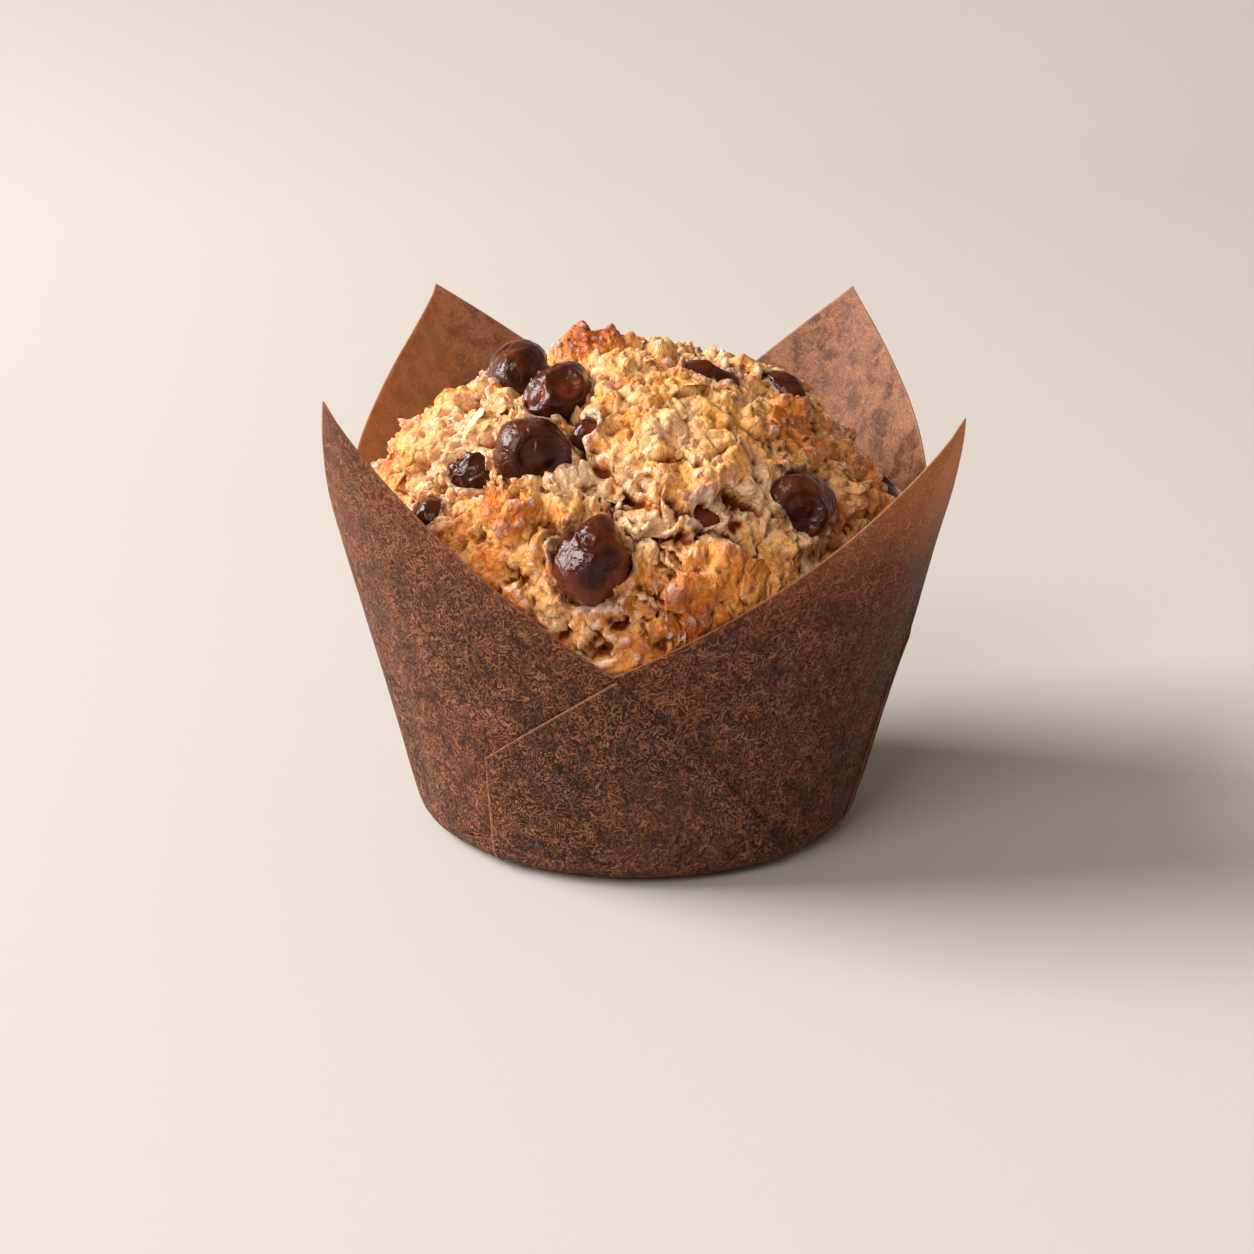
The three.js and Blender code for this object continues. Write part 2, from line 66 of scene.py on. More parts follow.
floor_turns = np.linspace(0, 2 * math.pi, 96, endpoint=False)
floor_bend = np.linspace(0, math.pi / 2, 24)
floor_radii = np.concatenate([[0.3, 0.6], 0.9 + 1.4 * np.sin(floor_bend)])
floor_heights = np.concatenate([[0, 0], 0.9 * (1 - np.cos(floor_bend))])
floor_rings = [(radius * math.cos(turn), radius * math.sin(turn), height)
               for radius, height in zip(floor_radii, floor_heights) for turn in floor_turns]
floor_faces = [(k * 96 + i, k * 96 + (i + 1) % 96, (k + 1) * 96 + (i + 1) % 96, (k + 1) * 96 + i)[::-1]
               for k in range(len(floor_radii) - 1) for i in range(96)]
floor_mesh = bpy.data.meshes.new("floor")
floor_mesh.from_pydata(floor_rings, [], [*floor_faces, tuple(range(96))])
floor_mesh.shade_smooth()
floor = bpy.data.objects.new("floor", floor_mesh)
bpy.context.collection.objects.link(floor)
floor_material = bpy.data.materials.new("floor")
floor_material.use_nodes = True
floor_shader = floor_material.node_tree.nodes["Principled BSDF"]
floor_shader.inputs["Base Color"].default_value = srgb(178, 174, 171)
floor_shader.inputs["Roughness"].default_value = 0.75
floor_mesh.materials.append(floor_material)


# Light: a large soft window from the back left, a broad weaker one from the front left, a dim one
# on the wall behind, and a pale surround that fills the shadows.
def add_light(name, place, aim, size, power, colour):
    data = bpy.data.lights.new(name, "AREA")
    data.shape = "RECTANGLE"
    data.size, data.size_y = size
    data.energy = power
    data.color = colour
    light = bpy.data.objects.new(name, data)
    light.location = place
    direction = np.array(aim) - np.array(place)
    flat = math.hypot(direction[0], direction[1])
    swing = math.atan2(direction[1], direction[0]) - math.pi / 2
    light.rotation_euler = (math.atan2(flat, -direction[2]), 0, swing)
    bpy.context.collection.objects.link(light)


add_light("window", (-1.7, 0.16, 1.15), (0, 0, 0.03), (1.3, 1.3), 104.0, (1.0, 0.95, 0.91))
add_light("front fill", (-0.9, -1.5, 1.3), (0, 0, 0.03), (1.2, 1.0), 26.0, (1.0, 0.94, 0.88))
add_light("backdrop", (0, 0.9, 1.0), (0, 2.0, 0.2), (1.6, 0.4), 5.0, (1.0, 0.97, 0.94))
world = bpy.data.worlds.new("surround")
world.use_nodes = True
world.node_tree.nodes["Background"].inputs["Color"].default_value = srgb(240, 219, 191)
world.node_tree.nodes["Background"].inputs["Strength"].default_value = 0.34
bpy.context.scene.world = world


# Paper case: one square sheet of brown greaseproof paper pressed into a cup, with four points.
# Below the valley at the middle of each side the spare paper is folded flat over the wall.
BASE_RADIUS = 29.6
WALL_SLOPE = 0.258  # outward run for each millimetre of rise
BASE_CORNER = 3.0
SHEET = 0.22  # thickness
CURL_START = 23.6  # height where the paper starts to curl away from the plain cone
CURL_RISE = 35
CURL_MIDWAY = -0.33  # share of the curl halfway between two points, where it turns inward
# Each point: its azimuth in degrees, its height, and how far it curls out.
POINTS = [(-139.8, 62.8, 2.3), (-36.5, 60.3, 3.0), (50.0, 66.3, 1.8), (125.8, 66.0, 3.8)]
# Each valley: its azimuth and height, how the edge falls to it on either side, the share of the
# folded panel before it, how far the panel's edges stand off, and the far edge's share of that.
VALLEYS = [
    (-94.6, 30.5, 0.66, 0.63, 1.0, 0.72, 0.8),
    (-3.0, 36.0, 1.0, 0.92, 0.6, 0.24, 0.5),
    (85.4, 42.0, 0.96, 0.96, 1.0, 0.6, 0.8),
    (-172.6, 37.0, 0.8, 1.0, 1.0, 0.36, 0.0),
]
# Soft upright pleats: azimuth, width in degrees, and depth outward.
PLEATS = [
    (-160, 4.6, 0.26), (-151, 3.4, -0.18), (-143, 4.0, 0.16), (-20.5, 1.5, 0.3), (-17.2, 1.4, -0.3),
    (-14, 1.6, 0.34), (62, 3.6, 0.3), (71, 3.4, -0.3), (112, 4.2, 0.3), (121, 3.4, -0.2),
    (36, 3.6, 0.25), (150, 4.0, 0.25),
]


def turn_between(start, end):
    """The turn from one azimuth to another, from -180 to 180 degrees."""
    return (np.asarray(end) - start + 180) % 360 - 180


def smooth(low, high, value):
    """0 below low, 1 above high, and an even rise between them."""
    share = np.clip((value - low) / (high - low), 0, 1)
    return share * share * (3 - 2 * share)


def lattice(i, j, k, seed):
    """A repeatable number from 0 to 1 for each whole-number place in space."""
    with np.errstate(over="ignore"):
        mixed = (i.astype(np.uint32) * np.uint32(374761393) + j.astype(np.uint32) * np.uint32(668265263)
                 + k.astype(np.uint32) * np.uint32(1442695041) + np.uint32(seed * 974711 + 12345))
        mixed = (mixed ^ (mixed >> np.uint32(13))) * np.uint32(1274126177)
        mixed = (mixed ^ (mixed >> np.uint32(16))) * np.uint32(2246822519)
        mixed = mixed ^ (mixed >> np.uint32(13))
    return mixed / 4294967295.0


def noise(points, size, seed):
    """Smooth noise from -1 to 1 whose features are size across, at points (..., 3)."""
    cell = np.floor(points / size).astype(np.int64)
    part = points / size - cell
    part = part * part * part * (part * (part * 6 - 15) + 10)
    total = 0.0
    for corner in np.ndindex(2, 2, 2):
        near_x, near_y, near_z = np.moveaxis(np.where(corner, part, 1 - part), -1, 0)
        total = total + near_x * near_y * near_z * lattice(*np.moveaxis(cell + corner, -1, 0), seed)
    return total * 2 - 1


def curl_at(azimuth):
    """How far the paper curls out at the top: most at a point, and inward midway."""
    turns = np.stack([np.abs(turn_between(p[0], azimuth)) for p in POINTS])
    weights = np.maximum(0.001, 1 - turns / 60) ** 2
    curls = np.array([p[2] for p in POINTS]).reshape(-1, *[1] * np.ndim(azimuth))
    full = (weights * curls).sum(0) / weights.sum(0)
    nearness = np.maximum(0, 1 - turns.min(0) / 45)
    return full * (CURL_MIDWAY + (1 - CURL_MIDWAY) * nearness ** 1.45)


def paper_radius(azimuth, height):
    """Outside of the paper: a cone with a rounded foot, which curls out towards each point."""
    below = np.clip(BASE_CORNER - height, 0, BASE_CORNER)
    corner = BASE_CORNER - np.sqrt(BASE_CORNER ** 2 - below ** 2)
    rise = np.maximum(0, height - CURL_START) / CURL_RISE
    return BASE_RADIUS + WALL_SLOPE * height - corner + curl_at(azimuth) * rise ** 2


def edge_height(azimuth):
    """Height of the free edge: from each point it falls to the valley on either side."""
    height = np.zeros_like(azimuth)
    for k, (middle, low, fall_before, fall_after, _, _, _) in enumerate(VALLEYS):
        turn = turn_between(middle, azimuth)
        before, after = POINTS[k], POINTS[(k + 1) % 4]
        span_before = turn_between(before[0], middle)
        span_after = turn_between(middle, after[0])
        left = (turn >= -span_before) & (turn < 0)
        right = (turn >= 0) & (turn <= span_after)
        drop = (1 - np.abs(turn) / np.where(turn < 0, span_before, span_after)).clip(0, 1)
        height = np.where(left, before[1] - (before[1] - low) * drop ** fall_before, height)
        height = np.where(right, after[1] - (after[1] - low) * drop ** fall_after, height)
    return height


def paper_waves(azimuth, height):
    """How the real sheet departs from the smooth cup: soft flutes low down, pleats beside the
    hidden folds, and a slight unevenness all over, in millimetres outward."""
    turn = np.radians(azimuth)
    around = np.stack([35 * np.cos(turn), 35 * np.sin(turn), height], -1)
    waves = 0.2 * noise(around, 17.0, 3) + 0.07 * noise(around, 7.0, 4)
    middle = smooth(1.5, 9, height) * (1 - smooth(26, 40, height))
    for place, width, depth in PLEATS:
        lean = place + 0.08 * (height - 15)
        waves = waves + depth * middle * np.exp(-(turn_between(lean, azimuth) / width) ** 2)
    return waves * smooth(0.2, 5, height)


def on_paper(azimuth, height, offset):
    """A point of the sheet in millimetres. offset is outward from its smooth outside."""
    radius = paper_radius(azimuth, height) + paper_waves(azimuth, height) + offset
    turn = np.radians(azimuth)
    return np.stack([radius * np.cos(turn), radius * np.sin(turn), height + 0 * radius], -1)


def level_ring(azimuth, radius, height):
    """Points all at one radius and one height."""
    turn = np.radians(azimuth)
    return np.stack([radius * np.cos(turn), radius * np.sin(turn), 0 * turn + height], -1)


def make_piece(name, points, quads, triangles=None):
    """A smooth-shaded mesh object from points in millimetres and its faces."""
    triangles = np.zeros((0, 3), int) if triangles is None else np.asarray(triangles)
    quads = np.asarray(quads).reshape(-1, 4)
    mesh = bpy.data.meshes.new(name)
    mesh.vertices.add(len(points))
    mesh.vertices.foreach_set("co", (np.asarray(points) / 1000).astype(np.float32).ravel())
    corners = np.concatenate([quads.ravel(), triangles.ravel()]).astype(np.int32)
    mesh.loops.add(len(corners))
    mesh.loops.foreach_set("vertex_index", corners)
    sizes = np.concatenate([np.full(len(quads), 4), np.full(len(triangles), 3)])
    mesh.polygons.add(len(sizes))
    mesh.polygons.foreach_set("loop_start", (np.cumsum(sizes) - sizes).astype(np.int32))
    mesh.update(calc_edges=True)
    mesh.validate()
    mesh.shade_smooth()
    piece = bpy.data.objects.new(name, mesh)
    bpy.context.collection.objects.link(piece)
    return piece


def grid_quads(columns, rows, wrap_columns=False):
    """Faces of a grid of points numbered column by column."""
    i = np.arange(columns if wrap_columns else columns - 1)[:, None]
    j = np.arange(rows - 1)[None, :]
    nxt = (i + 1) % columns
    return np.stack([i * rows + j, nxt * rows + j, nxt * rows + j + 1, i * rows + j + 1], -1).reshape(-1, 4)


def set_values(piece, name, values):
    """A number for each vertex, kept in the mesh for its material to read."""
    attribute = piece.data.attributes.new(name, "FLOAT", "POINT")
    attribute.data.foreach_set("value", np.asarray(values, np.float32).ravel())


# The cup's profile runs from the middle of the base, out and up the outside to the free edge,
# and back down the inside. Each point and each valley has a column of its own.
marks = [mark for point, valley in zip(POINTS, VALLEYS) for mark in (point[0], valley[0])]
case_azimuths = np.concatenate([
    mark + turn_between(mark, after) * np.arange(48) / 48 for mark, after in zip(marks, np.roll(marks, -1))])
case_edge = edge_height((case_azimuths + 180) % 360 - 180)
flat_radius = BASE_RADIUS - BASE_CORNER
floor_shares = np.array([0.02, 0.3, 0.6, 0.85, 1.0])
WALL_START = 2.8
corner_heights = np.array([0.12, 0.4, 0.9, 1.7, WALL_START])
wall_shares = np.append(np.linspace(0, 1, 46)[1:-1], [0.993, 1])


def cup_side(offset):
    """The rings of the corner and the wall, from the base up, at an offset from the outside."""
    heights = [np.full_like(case_azimuths, height) for height in corner_heights]
    heights += [WALL_START + (case_edge - WALL_START) * share for share in wall_shares]
    return [on_paper(case_azimuths, height, offset) for height in heights]


inside = cup_side(-SHEET)
for side_ring in inside:
    side_ring[:, 2] = np.maximum(side_ring[:, 2], SHEET)
cup = np.stack([
    *[level_ring(case_azimuths, flat_radius * share, 0) for share in floor_shares],
    *cup_side(0), *inside[::-1],
    *[level_ring(case_azimuths, flat_radius * share * 0.985, SHEET) for share in floor_shares[::-1]]], 1)
columns, rows = cup.shape[:2]
case_points = [cup.reshape(-1, 3), [[0, 0, 0]], [[0, 0, SHEET]]]
case_quads = [grid_quads(columns, rows, wrap_columns=True)]
ring = np.arange(columns)
under = columns * rows
case_triangles = [
    np.stack([(ring + 1) % columns * rows, ring * rows, 0 * ring + under], -1),
    np.stack([ring * rows + rows - 1, (ring + 1) % columns * rows + rows - 1, 0 * ring + under + 1], -1),
]


def add_flap(foot, head, middle, lift, far, thickness, tucked=False):
    """A flap of paper that lies on the wall: the two ends of its foot and of its head, as turns
    from the middle and heights. Its edges stand off the wall, so that they cast a thin shadow.
    A tucked one is a small fold whose narrow end lies on the wall."""
    columns, rows = (14, 8) if tucked else (46, 32)
    u = np.concatenate([[0, 0.008], np.linspace(0.03, 1, columns - 2)])[:, None]
    v = np.concatenate([np.linspace(0, 0.97, rows - 2), [0.99, 1]])[None, :]
    turn, height = [(foot[0][axis] * (1 - u) + foot[1][axis] * u) * (1 - v)
                    + (head[0][axis] * (1 - u) + head[1][axis] * u) * v for axis in (0, 1)]
    azimuth = middle + turn
    edge_u = np.maximum(np.exp(-u / 0.09), far * np.exp(-(1 - u) / 0.12))
    edge_v = 0.6 * np.exp(-(1 - v) / 0.1)
    stand = lift * (0.42 + 0.58 * np.maximum(edge_u, edge_v)) * (1 - (1 - far) * smooth(0.55, 1, u))
    stand = stand - (0.1 if far == 0 else 0) * smooth(0.8, 1, u)
    if tucked:
        stand = stand * (0.12 + 0.88 * smooth(0, 0.55, u))
    inner_stand = np.minimum(stand - 0.04, np.maximum(0.05, stand - thickness))
    inside, start = columns * rows, sum(map(len, case_points))
    quads = grid_quads(columns, rows)
    border = ([(i, 0) for i in range(columns - 1)] + [(columns - 1, j) for j in range(rows - 1)]
              + [(i, rows - 1) for i in range(columns - 1, 0, -1)]
              + [(0, j) for j in range(rows - 1, 0, -1)])
    loop = np.array([i * rows + j for i, j in border])
    after = np.roll(loop, -1)
    strip = np.stack([after, loop, loop + inside, after + inside], -1)
    case_points.extend(on_paper(azimuth, height, off).reshape(-1, 3) for off in (stand, inner_stand))
    case_quads.append(np.concatenate([quads, quads[:, ::-1] + inside, strip]) + start)
    # The free cut edges, painted paler: partly their own colour, partly a painted highlight where light
    # catches them.
    cut_edge_sheen = np.broadcast_to(np.maximum(u < 0.004, v > 0.995), (columns, rows)) * float(not tucked)
    case_edge_sheens.append(np.tile(cut_edge_sheen.ravel(), 2))


outer_rows = len(floor_shares) + len(corner_heights) + len(wall_shares)
# The cup's free edge, painted paler like the flaps' cut edges, partly as a painted highlight.
cup_edge_sheen = np.zeros((columns, rows))
cup_edge_sheen[:, outer_rows - 1:outer_rows + 1] = 1
case_edge_sheens = [np.append(cup_edge_sheen.ravel(), [0, 0])]
for middle, top, _, _, near, lift, far in VALLEYS:
    add_flap(((-32.6 * near, 0.045 * top), (44.2, 0.04 * top)),
             ((-28.6 * near, 0.563 * top), (0.6, 0.985 * top)), middle, lift, far, min(0.25, 0.7 * lift))
    if near == 1:
        add_flap(((-45.5, 2.6), (-31.5, 0.9)), ((-45.5, 3.1), (-31.5, 4.6)), middle,
                 0.85, 0.8, 0.25, tucked=True)
paper = make_piece("paper_sheet", np.concatenate(case_points), np.concatenate(case_quads),
                   np.concatenate(case_triangles))
set_values(paper, "cut_edge_sheen", np.concatenate(case_edge_sheens))


def new_material(name):
    material = bpy.data.materials.new(name)
    material.use_nodes = True
    return material, material.node_tree, material.node_tree.nodes["Principled BSDF"]


def add_node(tree, kind, inputs=None, **settings):
    """A shader node with its settings, and its inputs as values or as sockets to join."""
    node = tree.nodes.new(kind)
    for key, value in settings.items():
        setattr(node, key, value)
    for key, value in (inputs or {}).items():
        if isinstance(value, bpy.types.NodeSocket):
            tree.links.new(value, node.inputs[key])
        else:
            node.inputs[key].default_value = value
    return node


def math_node(tree, operation, first, second=0.0):
    return add_node(tree, "ShaderNodeMath", {0: first, 1: second}, operation=operation).outputs[0]


def times(tree, first, second):
    return math_node(tree, "MULTIPLY", first, second)


def read_values(tree, name):
    return add_node(tree, "ShaderNodeAttribute", attribute_name=name).outputs["Fac"]


def remap(tree, value, low, high, to_low=0.0, to_high=1.0):
    """An even rise or fall from to_low, at low and below, to to_high, at high and above."""
    node = add_node(tree, "ShaderNodeMapRange", {"Value": value, "From Min": low, "From Max": high,
                                                  "To Min": to_low, "To Max": to_high},
                    interpolation_type="SMOOTHSTEP")
    return node.outputs["Result"]


def mix_colour(tree, share, first, second):
    node = add_node(tree, "ShaderNodeMix", data_type="RGBA")
    for socket, value in ((node.inputs[0], share), (node.inputs[6], first), (node.inputs[7], second)):
        if isinstance(value, bpy.types.NodeSocket):
            tree.links.new(value, socket)
        else:
            socket.default_value = value
    return node.outputs[2]


def noise_node(tree, vector, scale, detail=2.0, distortion=0.0, roughness=0.5):
    node = add_node(tree, "ShaderNodeTexNoise", {"Vector": vector, "Scale": scale, "Detail": detail,
                                                  "Distortion": distortion, "Roughness": roughness})
    return node.outputs["Fac"]


def bent_place(tree, place, scale, detail, reach):
    """The place shifted by a noise, up to reach in metres, so that a pattern on it bends."""
    sway = add_node(tree, "ShaderNodeTexNoise", {"Vector": place, "Scale": scale, "Detail": detail})
    return add_node(tree, "ShaderNodeVectorMath", {0: sway.outputs["Color"], 1: (reach,) * 3, 2: place},
                    operation="MULTIPLY_ADD").outputs[0]


def add_bump(tree, shader, height, strength, distance):
    bump = add_node(tree, "ShaderNodeBump", {"Strength": strength, "Distance": distance, "Height": height})
    tree.links.new(bump.outputs[0], shader.inputs["Normal"])


# Paper finish: dark reddish brown, made of short curved fibres that lie every way, lighter and
# darker, with cloudy patches and a darker damp look where the crumb's fat has soaked in. Each
# direction of fibres is a noise stretched along it and cut to its crests and its troughs. The thin
# paper lets some light through, and its inner face is painted lighter, as light shining through it.
paper_material, tree, shader = new_material("baking_paper")
place = add_node(tree, "ShaderNodeTexCoord").outputs["Object"]
swayed = bent_place(tree, place, 520.0, 1.0, 0.0022)
FIBRE_WAYS = [(0, 0.53, 0.85), (0, -0.53, 0.85), (0.53, 0.85, 0),
              (-0.53, 0.85, 0), (0.85, 0, 0.53), (0.85, 0, -0.53)]
fibre, dark_fibre = None, None
for x, y, z in FIBRE_WAYS:
    lie = (0, -math.asin(z), math.atan2(y, x))
    along = add_node(tree, "ShaderNodeMapping", {"Vector": swayed, "Rotation": lie, "Scale": (1, 0.14, 0.14)},
                     vector_type="TEXTURE").outputs[0]
    strand = noise_node(tree, along, 640, 0.0)
    crest, trough = remap(tree, strand, 0.66, 0.735), remap(tree, strand, 0.24, 0.36, 1, 0)
    fibre = crest if fibre is None else math_node(tree, "MAXIMUM", fibre, crest)
    dark_fibre = trough if dark_fibre is None else math_node(tree, "MAXIMUM", dark_fibre, trough)
cloud = noise_node(tree, place, 85, 3.0, 0.4)
mottle = noise_node(tree, place, 320, 3.0, 0.6, 0.55)
fibre = times(tree, fibre, remap(tree, mottle, 0.34, 0.6, 0.45, 1))
brown = mix_colour(tree, remap(tree, cloud, 0.3, 0.7), srgb(41, 24, 17), srgb(63, 36, 25))
brown = mix_colour(tree, remap(tree, mottle, 0.44, 0.7, 0, 0.6), brown, srgb(82, 47, 32))
brown = mix_colour(tree, remap(tree, mottle, 0.26, 0.48, 0.6, 0), brown, srgb(30, 19, 14))
brown = mix_colour(tree, times(tree, read_values(tree, "damp"), 0.7), brown, srgb(30, 18, 13))
# Painted light: the inner face is painted lighter, in mottled patches, for light shining through the paper.
lit_through_share = times(tree, read_values(tree, "inner"), remap(tree, mottle, 0.32, 0.66, 0.08, 0.88))
brown = mix_colour(tree, lit_through_share, brown, srgb(144, 106, 86))
brown = mix_colour(tree, times(tree, dark_fibre, 0.35), brown, srgb(24, 14, 10))
brown = mix_colour(tree, times(tree, fibre, 0.78), brown, srgb(176, 118, 85))
# Paler along the free cut edges: partly the edge's own colour, partly a painted highlight.
brown = mix_colour(tree, times(tree, read_values(tree, "cut_edge_sheen"), 0.4), brown, srgb(178, 134, 104))
tree.links.new(brown, shader.inputs["Base Color"])
tree.links.new(remap(tree, mottle, 0.3, 0.7, 0.5, 0.68), shader.inputs["Roughness"])
shader.inputs["Specular IOR Level"].default_value = 0.25
add_bump(tree, shader, math_node(tree, "ADD", times(tree, fibre, 0.7), mottle), 0.4, 0.0002)
through = add_node(tree, "ShaderNodeBsdfTranslucent", {"Color": srgb(250, 194, 148)})
both = add_node(tree, "ShaderNodeMixShader", {0: 0.3, 1: shader.outputs[0], 2: through.outputs[0]})
tree.links.new(both.outputs[0], tree.nodes["Material Output"].inputs["Surface"])
paper.data.materials.append(paper_material)
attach(paper, "root")
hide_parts("paper_case")


# Muffin crumb: one baked piece. A craggy crust of oat batter domes over the case, and the hidden
# sides fill the cup. The crust is a height over a smooth leaning dome, summed from clumps to grain.
DOME_FOOT = 33.0
DOME_RADIUS = 37.4
DOME_RISE = 31.7
DOME_ROUNDNESS = 1.87
DOME_LEAN = (-2.9, -1.5)
# Clumps: azimuth, degrees down from the top, width in degrees, and height.
CLUMPS = [
    (-172, 8, 9, 4.3), (-60, 24, 26, 1.2), (-35, 47, 12, 2.8), (-21, 57, 17, 1.8), (-172, 62, 12, 2.8),
    (-151, 49, 16, 1.4), (-119, 76, 18, 2.8), (-84, 84, 16, 2.6), (-60, 79, 15, 1.8), (-73, 54, 12, 2.2),
    (-112, 63, 12, 1.8), (-5, 75, 20, 2.0), (30, 52, 20, 1.5), (70, 36, 18, 1.2), (78, 76, 22, 2.4),
    (118, 55, 22, 2.2), (135, 80, 19, 2.2), (-175, 80, 20, 2.2),
]
# Torn plates of crust: azimuth, degrees down, length, width, turn, and how far they stand proud.
PLATES = [
    (-72, 41.5, 31, 23.5, -41, 1.8), (-124, 74, 19, 12, 10, 1.4), (-70, 79, 17, 11, 5, 1.3),
    (-158, 50, 16, 12, 60, 1.2), (8, 38, 19, 13, 25, 1.2), (56, 54, 19, 12, -50, 1.5),
    (128, 60, 21, 13, 15, 1.5),
]
# Chips: azimuth, degrees down, size across, along and through, turn, the share of the thickness
# that stands out of the dome, and how much the nib is drawn out.
CHIPS = [
    (-147, 27, 8.2, 8.8, 7.4, 20, 0.62, 0.1), (-115.5, 32, 7, 9.8, 6.8, -45, 0.56, 0.12),
    (-115, 49.5, 9.6, 10.2, 8.8, 150, 0.54, 0.08), (-100.5, 43, 3.8, 4.8, 4.4, -60, 0.42, 0),
    (-130.5, 56.5, 5.4, 7, 5.4, 60, 0.36, 0.1), (-138, 67.5, 5, 6, 5, 20, 0.4, 0),
    (-97.5, 73, 9.6, 9.6, 8.4, -12, 0.54, 0.3), (-48.5, 63.5, 9.8, 9, 8, -165, 0.52, 0.18),
    (-73, 63.5, 6.4, 4.4, 4.6, -5, 0.28, 0), (-36.5, 27, 5, 8, 5.2, 75, 0.42, 0),
    (-10, 40, 6, 8, 6.4, 45, 0.52, 0.1), (-12, 70, 5.6, 6.4, 5.2, 50, 0.42, 0),
    (40, 66, 8.4, 9.2, 7.6, 110, 0.46, 0.2), (66, 45, 7.6, 8.6, 7.2, 15, 0.44, 0.3),
    (66, 72, 5.8, 7.4, 5.6, 70, 0.42, 0), (92, 57, 9, 9.4, 8.2, 35, 0.52, 0.1),
    (112, 43, 6.2, 7.8, 6, 140, 0.42, 0.1), (114, 73, 8, 8.4, 7.4, 85, 0.48, 0.3),
    (136, 56, 7.4, 9, 7, 25, 0.48, 0.15), (155, 72, 6, 6.6, 5.6, 0, 0.42, 0),
    (98, 33, 5.6, 6.4, 5.2, 95, 0.32, 0.1),
]


def draw(index, channel):
    """A repeatable number from 0 to 1 for a whole number and a channel."""
    wave = np.sin(index * 127.1 + channel * 311.7) * 43758.5453
    return wave - np.floor(wave)


def direction(azimuth, polar):
    """The unit vector at an azimuth, polar degrees down from straight up."""
    a, p = np.radians(azimuth), np.radians(polar)
    return np.stack([np.sin(p) * np.cos(a), np.sin(p) * np.sin(a), np.cos(p) + 0 * a], -1)


def angle_from(toward, azimuth, polar):
    """The angle, in radians, between directions and the one at an azimuth and polar degrees down."""
    return np.arccos(np.clip(toward @ direction(azimuth, polar), -1, 1))


def standing(toward, spin):
    """The turn that stands +Z along a direction, after a spin about +Z, as a matrix."""
    x, y, z = toward
    c = 1 / (1 + z)
    swing = np.array([[1 - x * x * c, -x * y * c, x], [-x * y * c, 1 - y * y * c, y], [-x, -y, z]])
    s = math.radians(spin)
    return swing @ np.array([[math.cos(s), -math.sin(s), 0], [math.sin(s), math.cos(s), 0], [0, 0, 1]])


def dome_reach(polar):
    """Distance of the smooth dome, a rounded ellipse in outline, at an angle from straight up."""
    across = np.abs(np.sin(polar) / DOME_RADIUS) ** DOME_ROUNDNESS
    up = np.abs(np.cos(polar) / DOME_RISE) ** DOME_ROUNDNESS
    return (across + up) ** (-1 / DOME_ROUNDNESS)


def off_dome(toward, lift):
    """Points at a height over the smooth dome, whose top leans off the axis."""
    points = toward * (dome_reach(np.arccos(np.clip(toward[..., 2], -1, 1))) + lift)[..., None]
    share = np.clip(points[..., 2] / DOME_RISE, 0, 1)
    return points + np.stack([DOME_LEAN[0] * share, DOME_LEAN[1] * share, DOME_FOOT + 0 * share], -1)


def noise_shift(points, size, seed):
    """Three noises as a shift along X, Y and Z, for bending another pattern out of true."""
    return np.stack([noise(points, size, seed + axis) for axis in range(3)], -1)


def cells(points, size, seed):
    """Rounded cells about size across, one round each of many scattered seeds: the distance to
    the nearest seed and to the next one, in sizes, and a number from 0 to 1 for each cell."""
    base = np.floor(points / size).astype(np.int64)
    shape = points.shape[:-1]
    near, second, tag = np.full(shape, 9.0), np.full(shape, 9.0), np.zeros(shape)
    for step in np.ndindex(3, 3, 3):
        cell = base + np.array(step) - 1
        i, j, k = np.moveaxis(cell, -1, 0)
        spot = cell + np.stack([lattice(i, j, k, seed + axis) for axis in range(3)], -1)
        apart = np.linalg.norm(spot - points / size, axis=-1)
        closer = apart < near
        second = np.where(closer, near, np.minimum(second, apart))
        tag = np.where(closer, lattice(i, j, k, seed + 3), tag)
        near = np.where(closer, apart, near)
    return near, second, tag


def nuggets(points, size, seed, rise, crease):
    """Lumps of batter that meet in sharp creases, each at its own level, in millimetres."""
    near, second, tag = cells(points, size, seed)
    rounded = np.sqrt(np.maximum(0, 1 - 0.9 * near ** 2))
    gap = np.exp(-((second - near) / 0.17) ** 2)
    return rise * (rounded - 0.75 + 0.9 * (tag - 0.5)) - crease * gap, tag


def bumps(toward, middles, widths, heights):
    """Rounded bumps joined in creases: the fifth root of the sum of their fifth powers."""
    total = np.zeros(toward.shape[:-1])
    for middle, width, height in zip(middles, widths, heights):
        share = np.arccos(np.clip(toward @ middle, -1, 1)) / width
        total += np.where(share < 1, height * np.sqrt(np.maximum(0, 1 - share * share)), 0) ** 5
    return total ** 0.2


clump_table = np.array(CLUMPS, float)
clump_middles = direction(clump_table[:, 0], clump_table[:, 1])
LUMPS = 170
GOLDEN_TURN = 137.508  # degrees from one to the next, which spreads them evenly
lump_index = np.arange(LUMPS)
lump_middles = direction(lump_index * GOLDEN_TURN,
                         6 + 96 * np.sqrt((lump_index + 0.5 * draw(lump_index, 1)) / LUMPS))
lump_widths = np.radians(5.5 + 5.5 * draw(lump_index, 2))
lump_heights = 1 + 2.2 * draw(lump_index, 3)


def crust_lift(toward):
    """The solid's own crust: clumps and lumps over the smooth dome, in millimetres."""
    return (bumps(toward, clump_middles, np.radians(clump_table[:, 2]), clump_table[:, 3])
            + bumps(toward, lump_middles, lump_widths, lump_heights) - 2.4)


def on_patch(toward, azimuth, polar, turn, length, width):
    """Where directions meet a patch of the dome, as shares of its half length and half width from
    its middle, and whether they are on its side of the dome."""
    local = toward @ standing(direction(azimuth, polar), turn)
    ahead = local[..., 2] > 0.3
    depth = np.where(ahead, local[..., 2], 1)
    return (DOME_RADIUS * local[..., 0] / depth / (length / 2),
            DOME_RADIUS * local[..., 1] / depth / (width / 2), ahead)


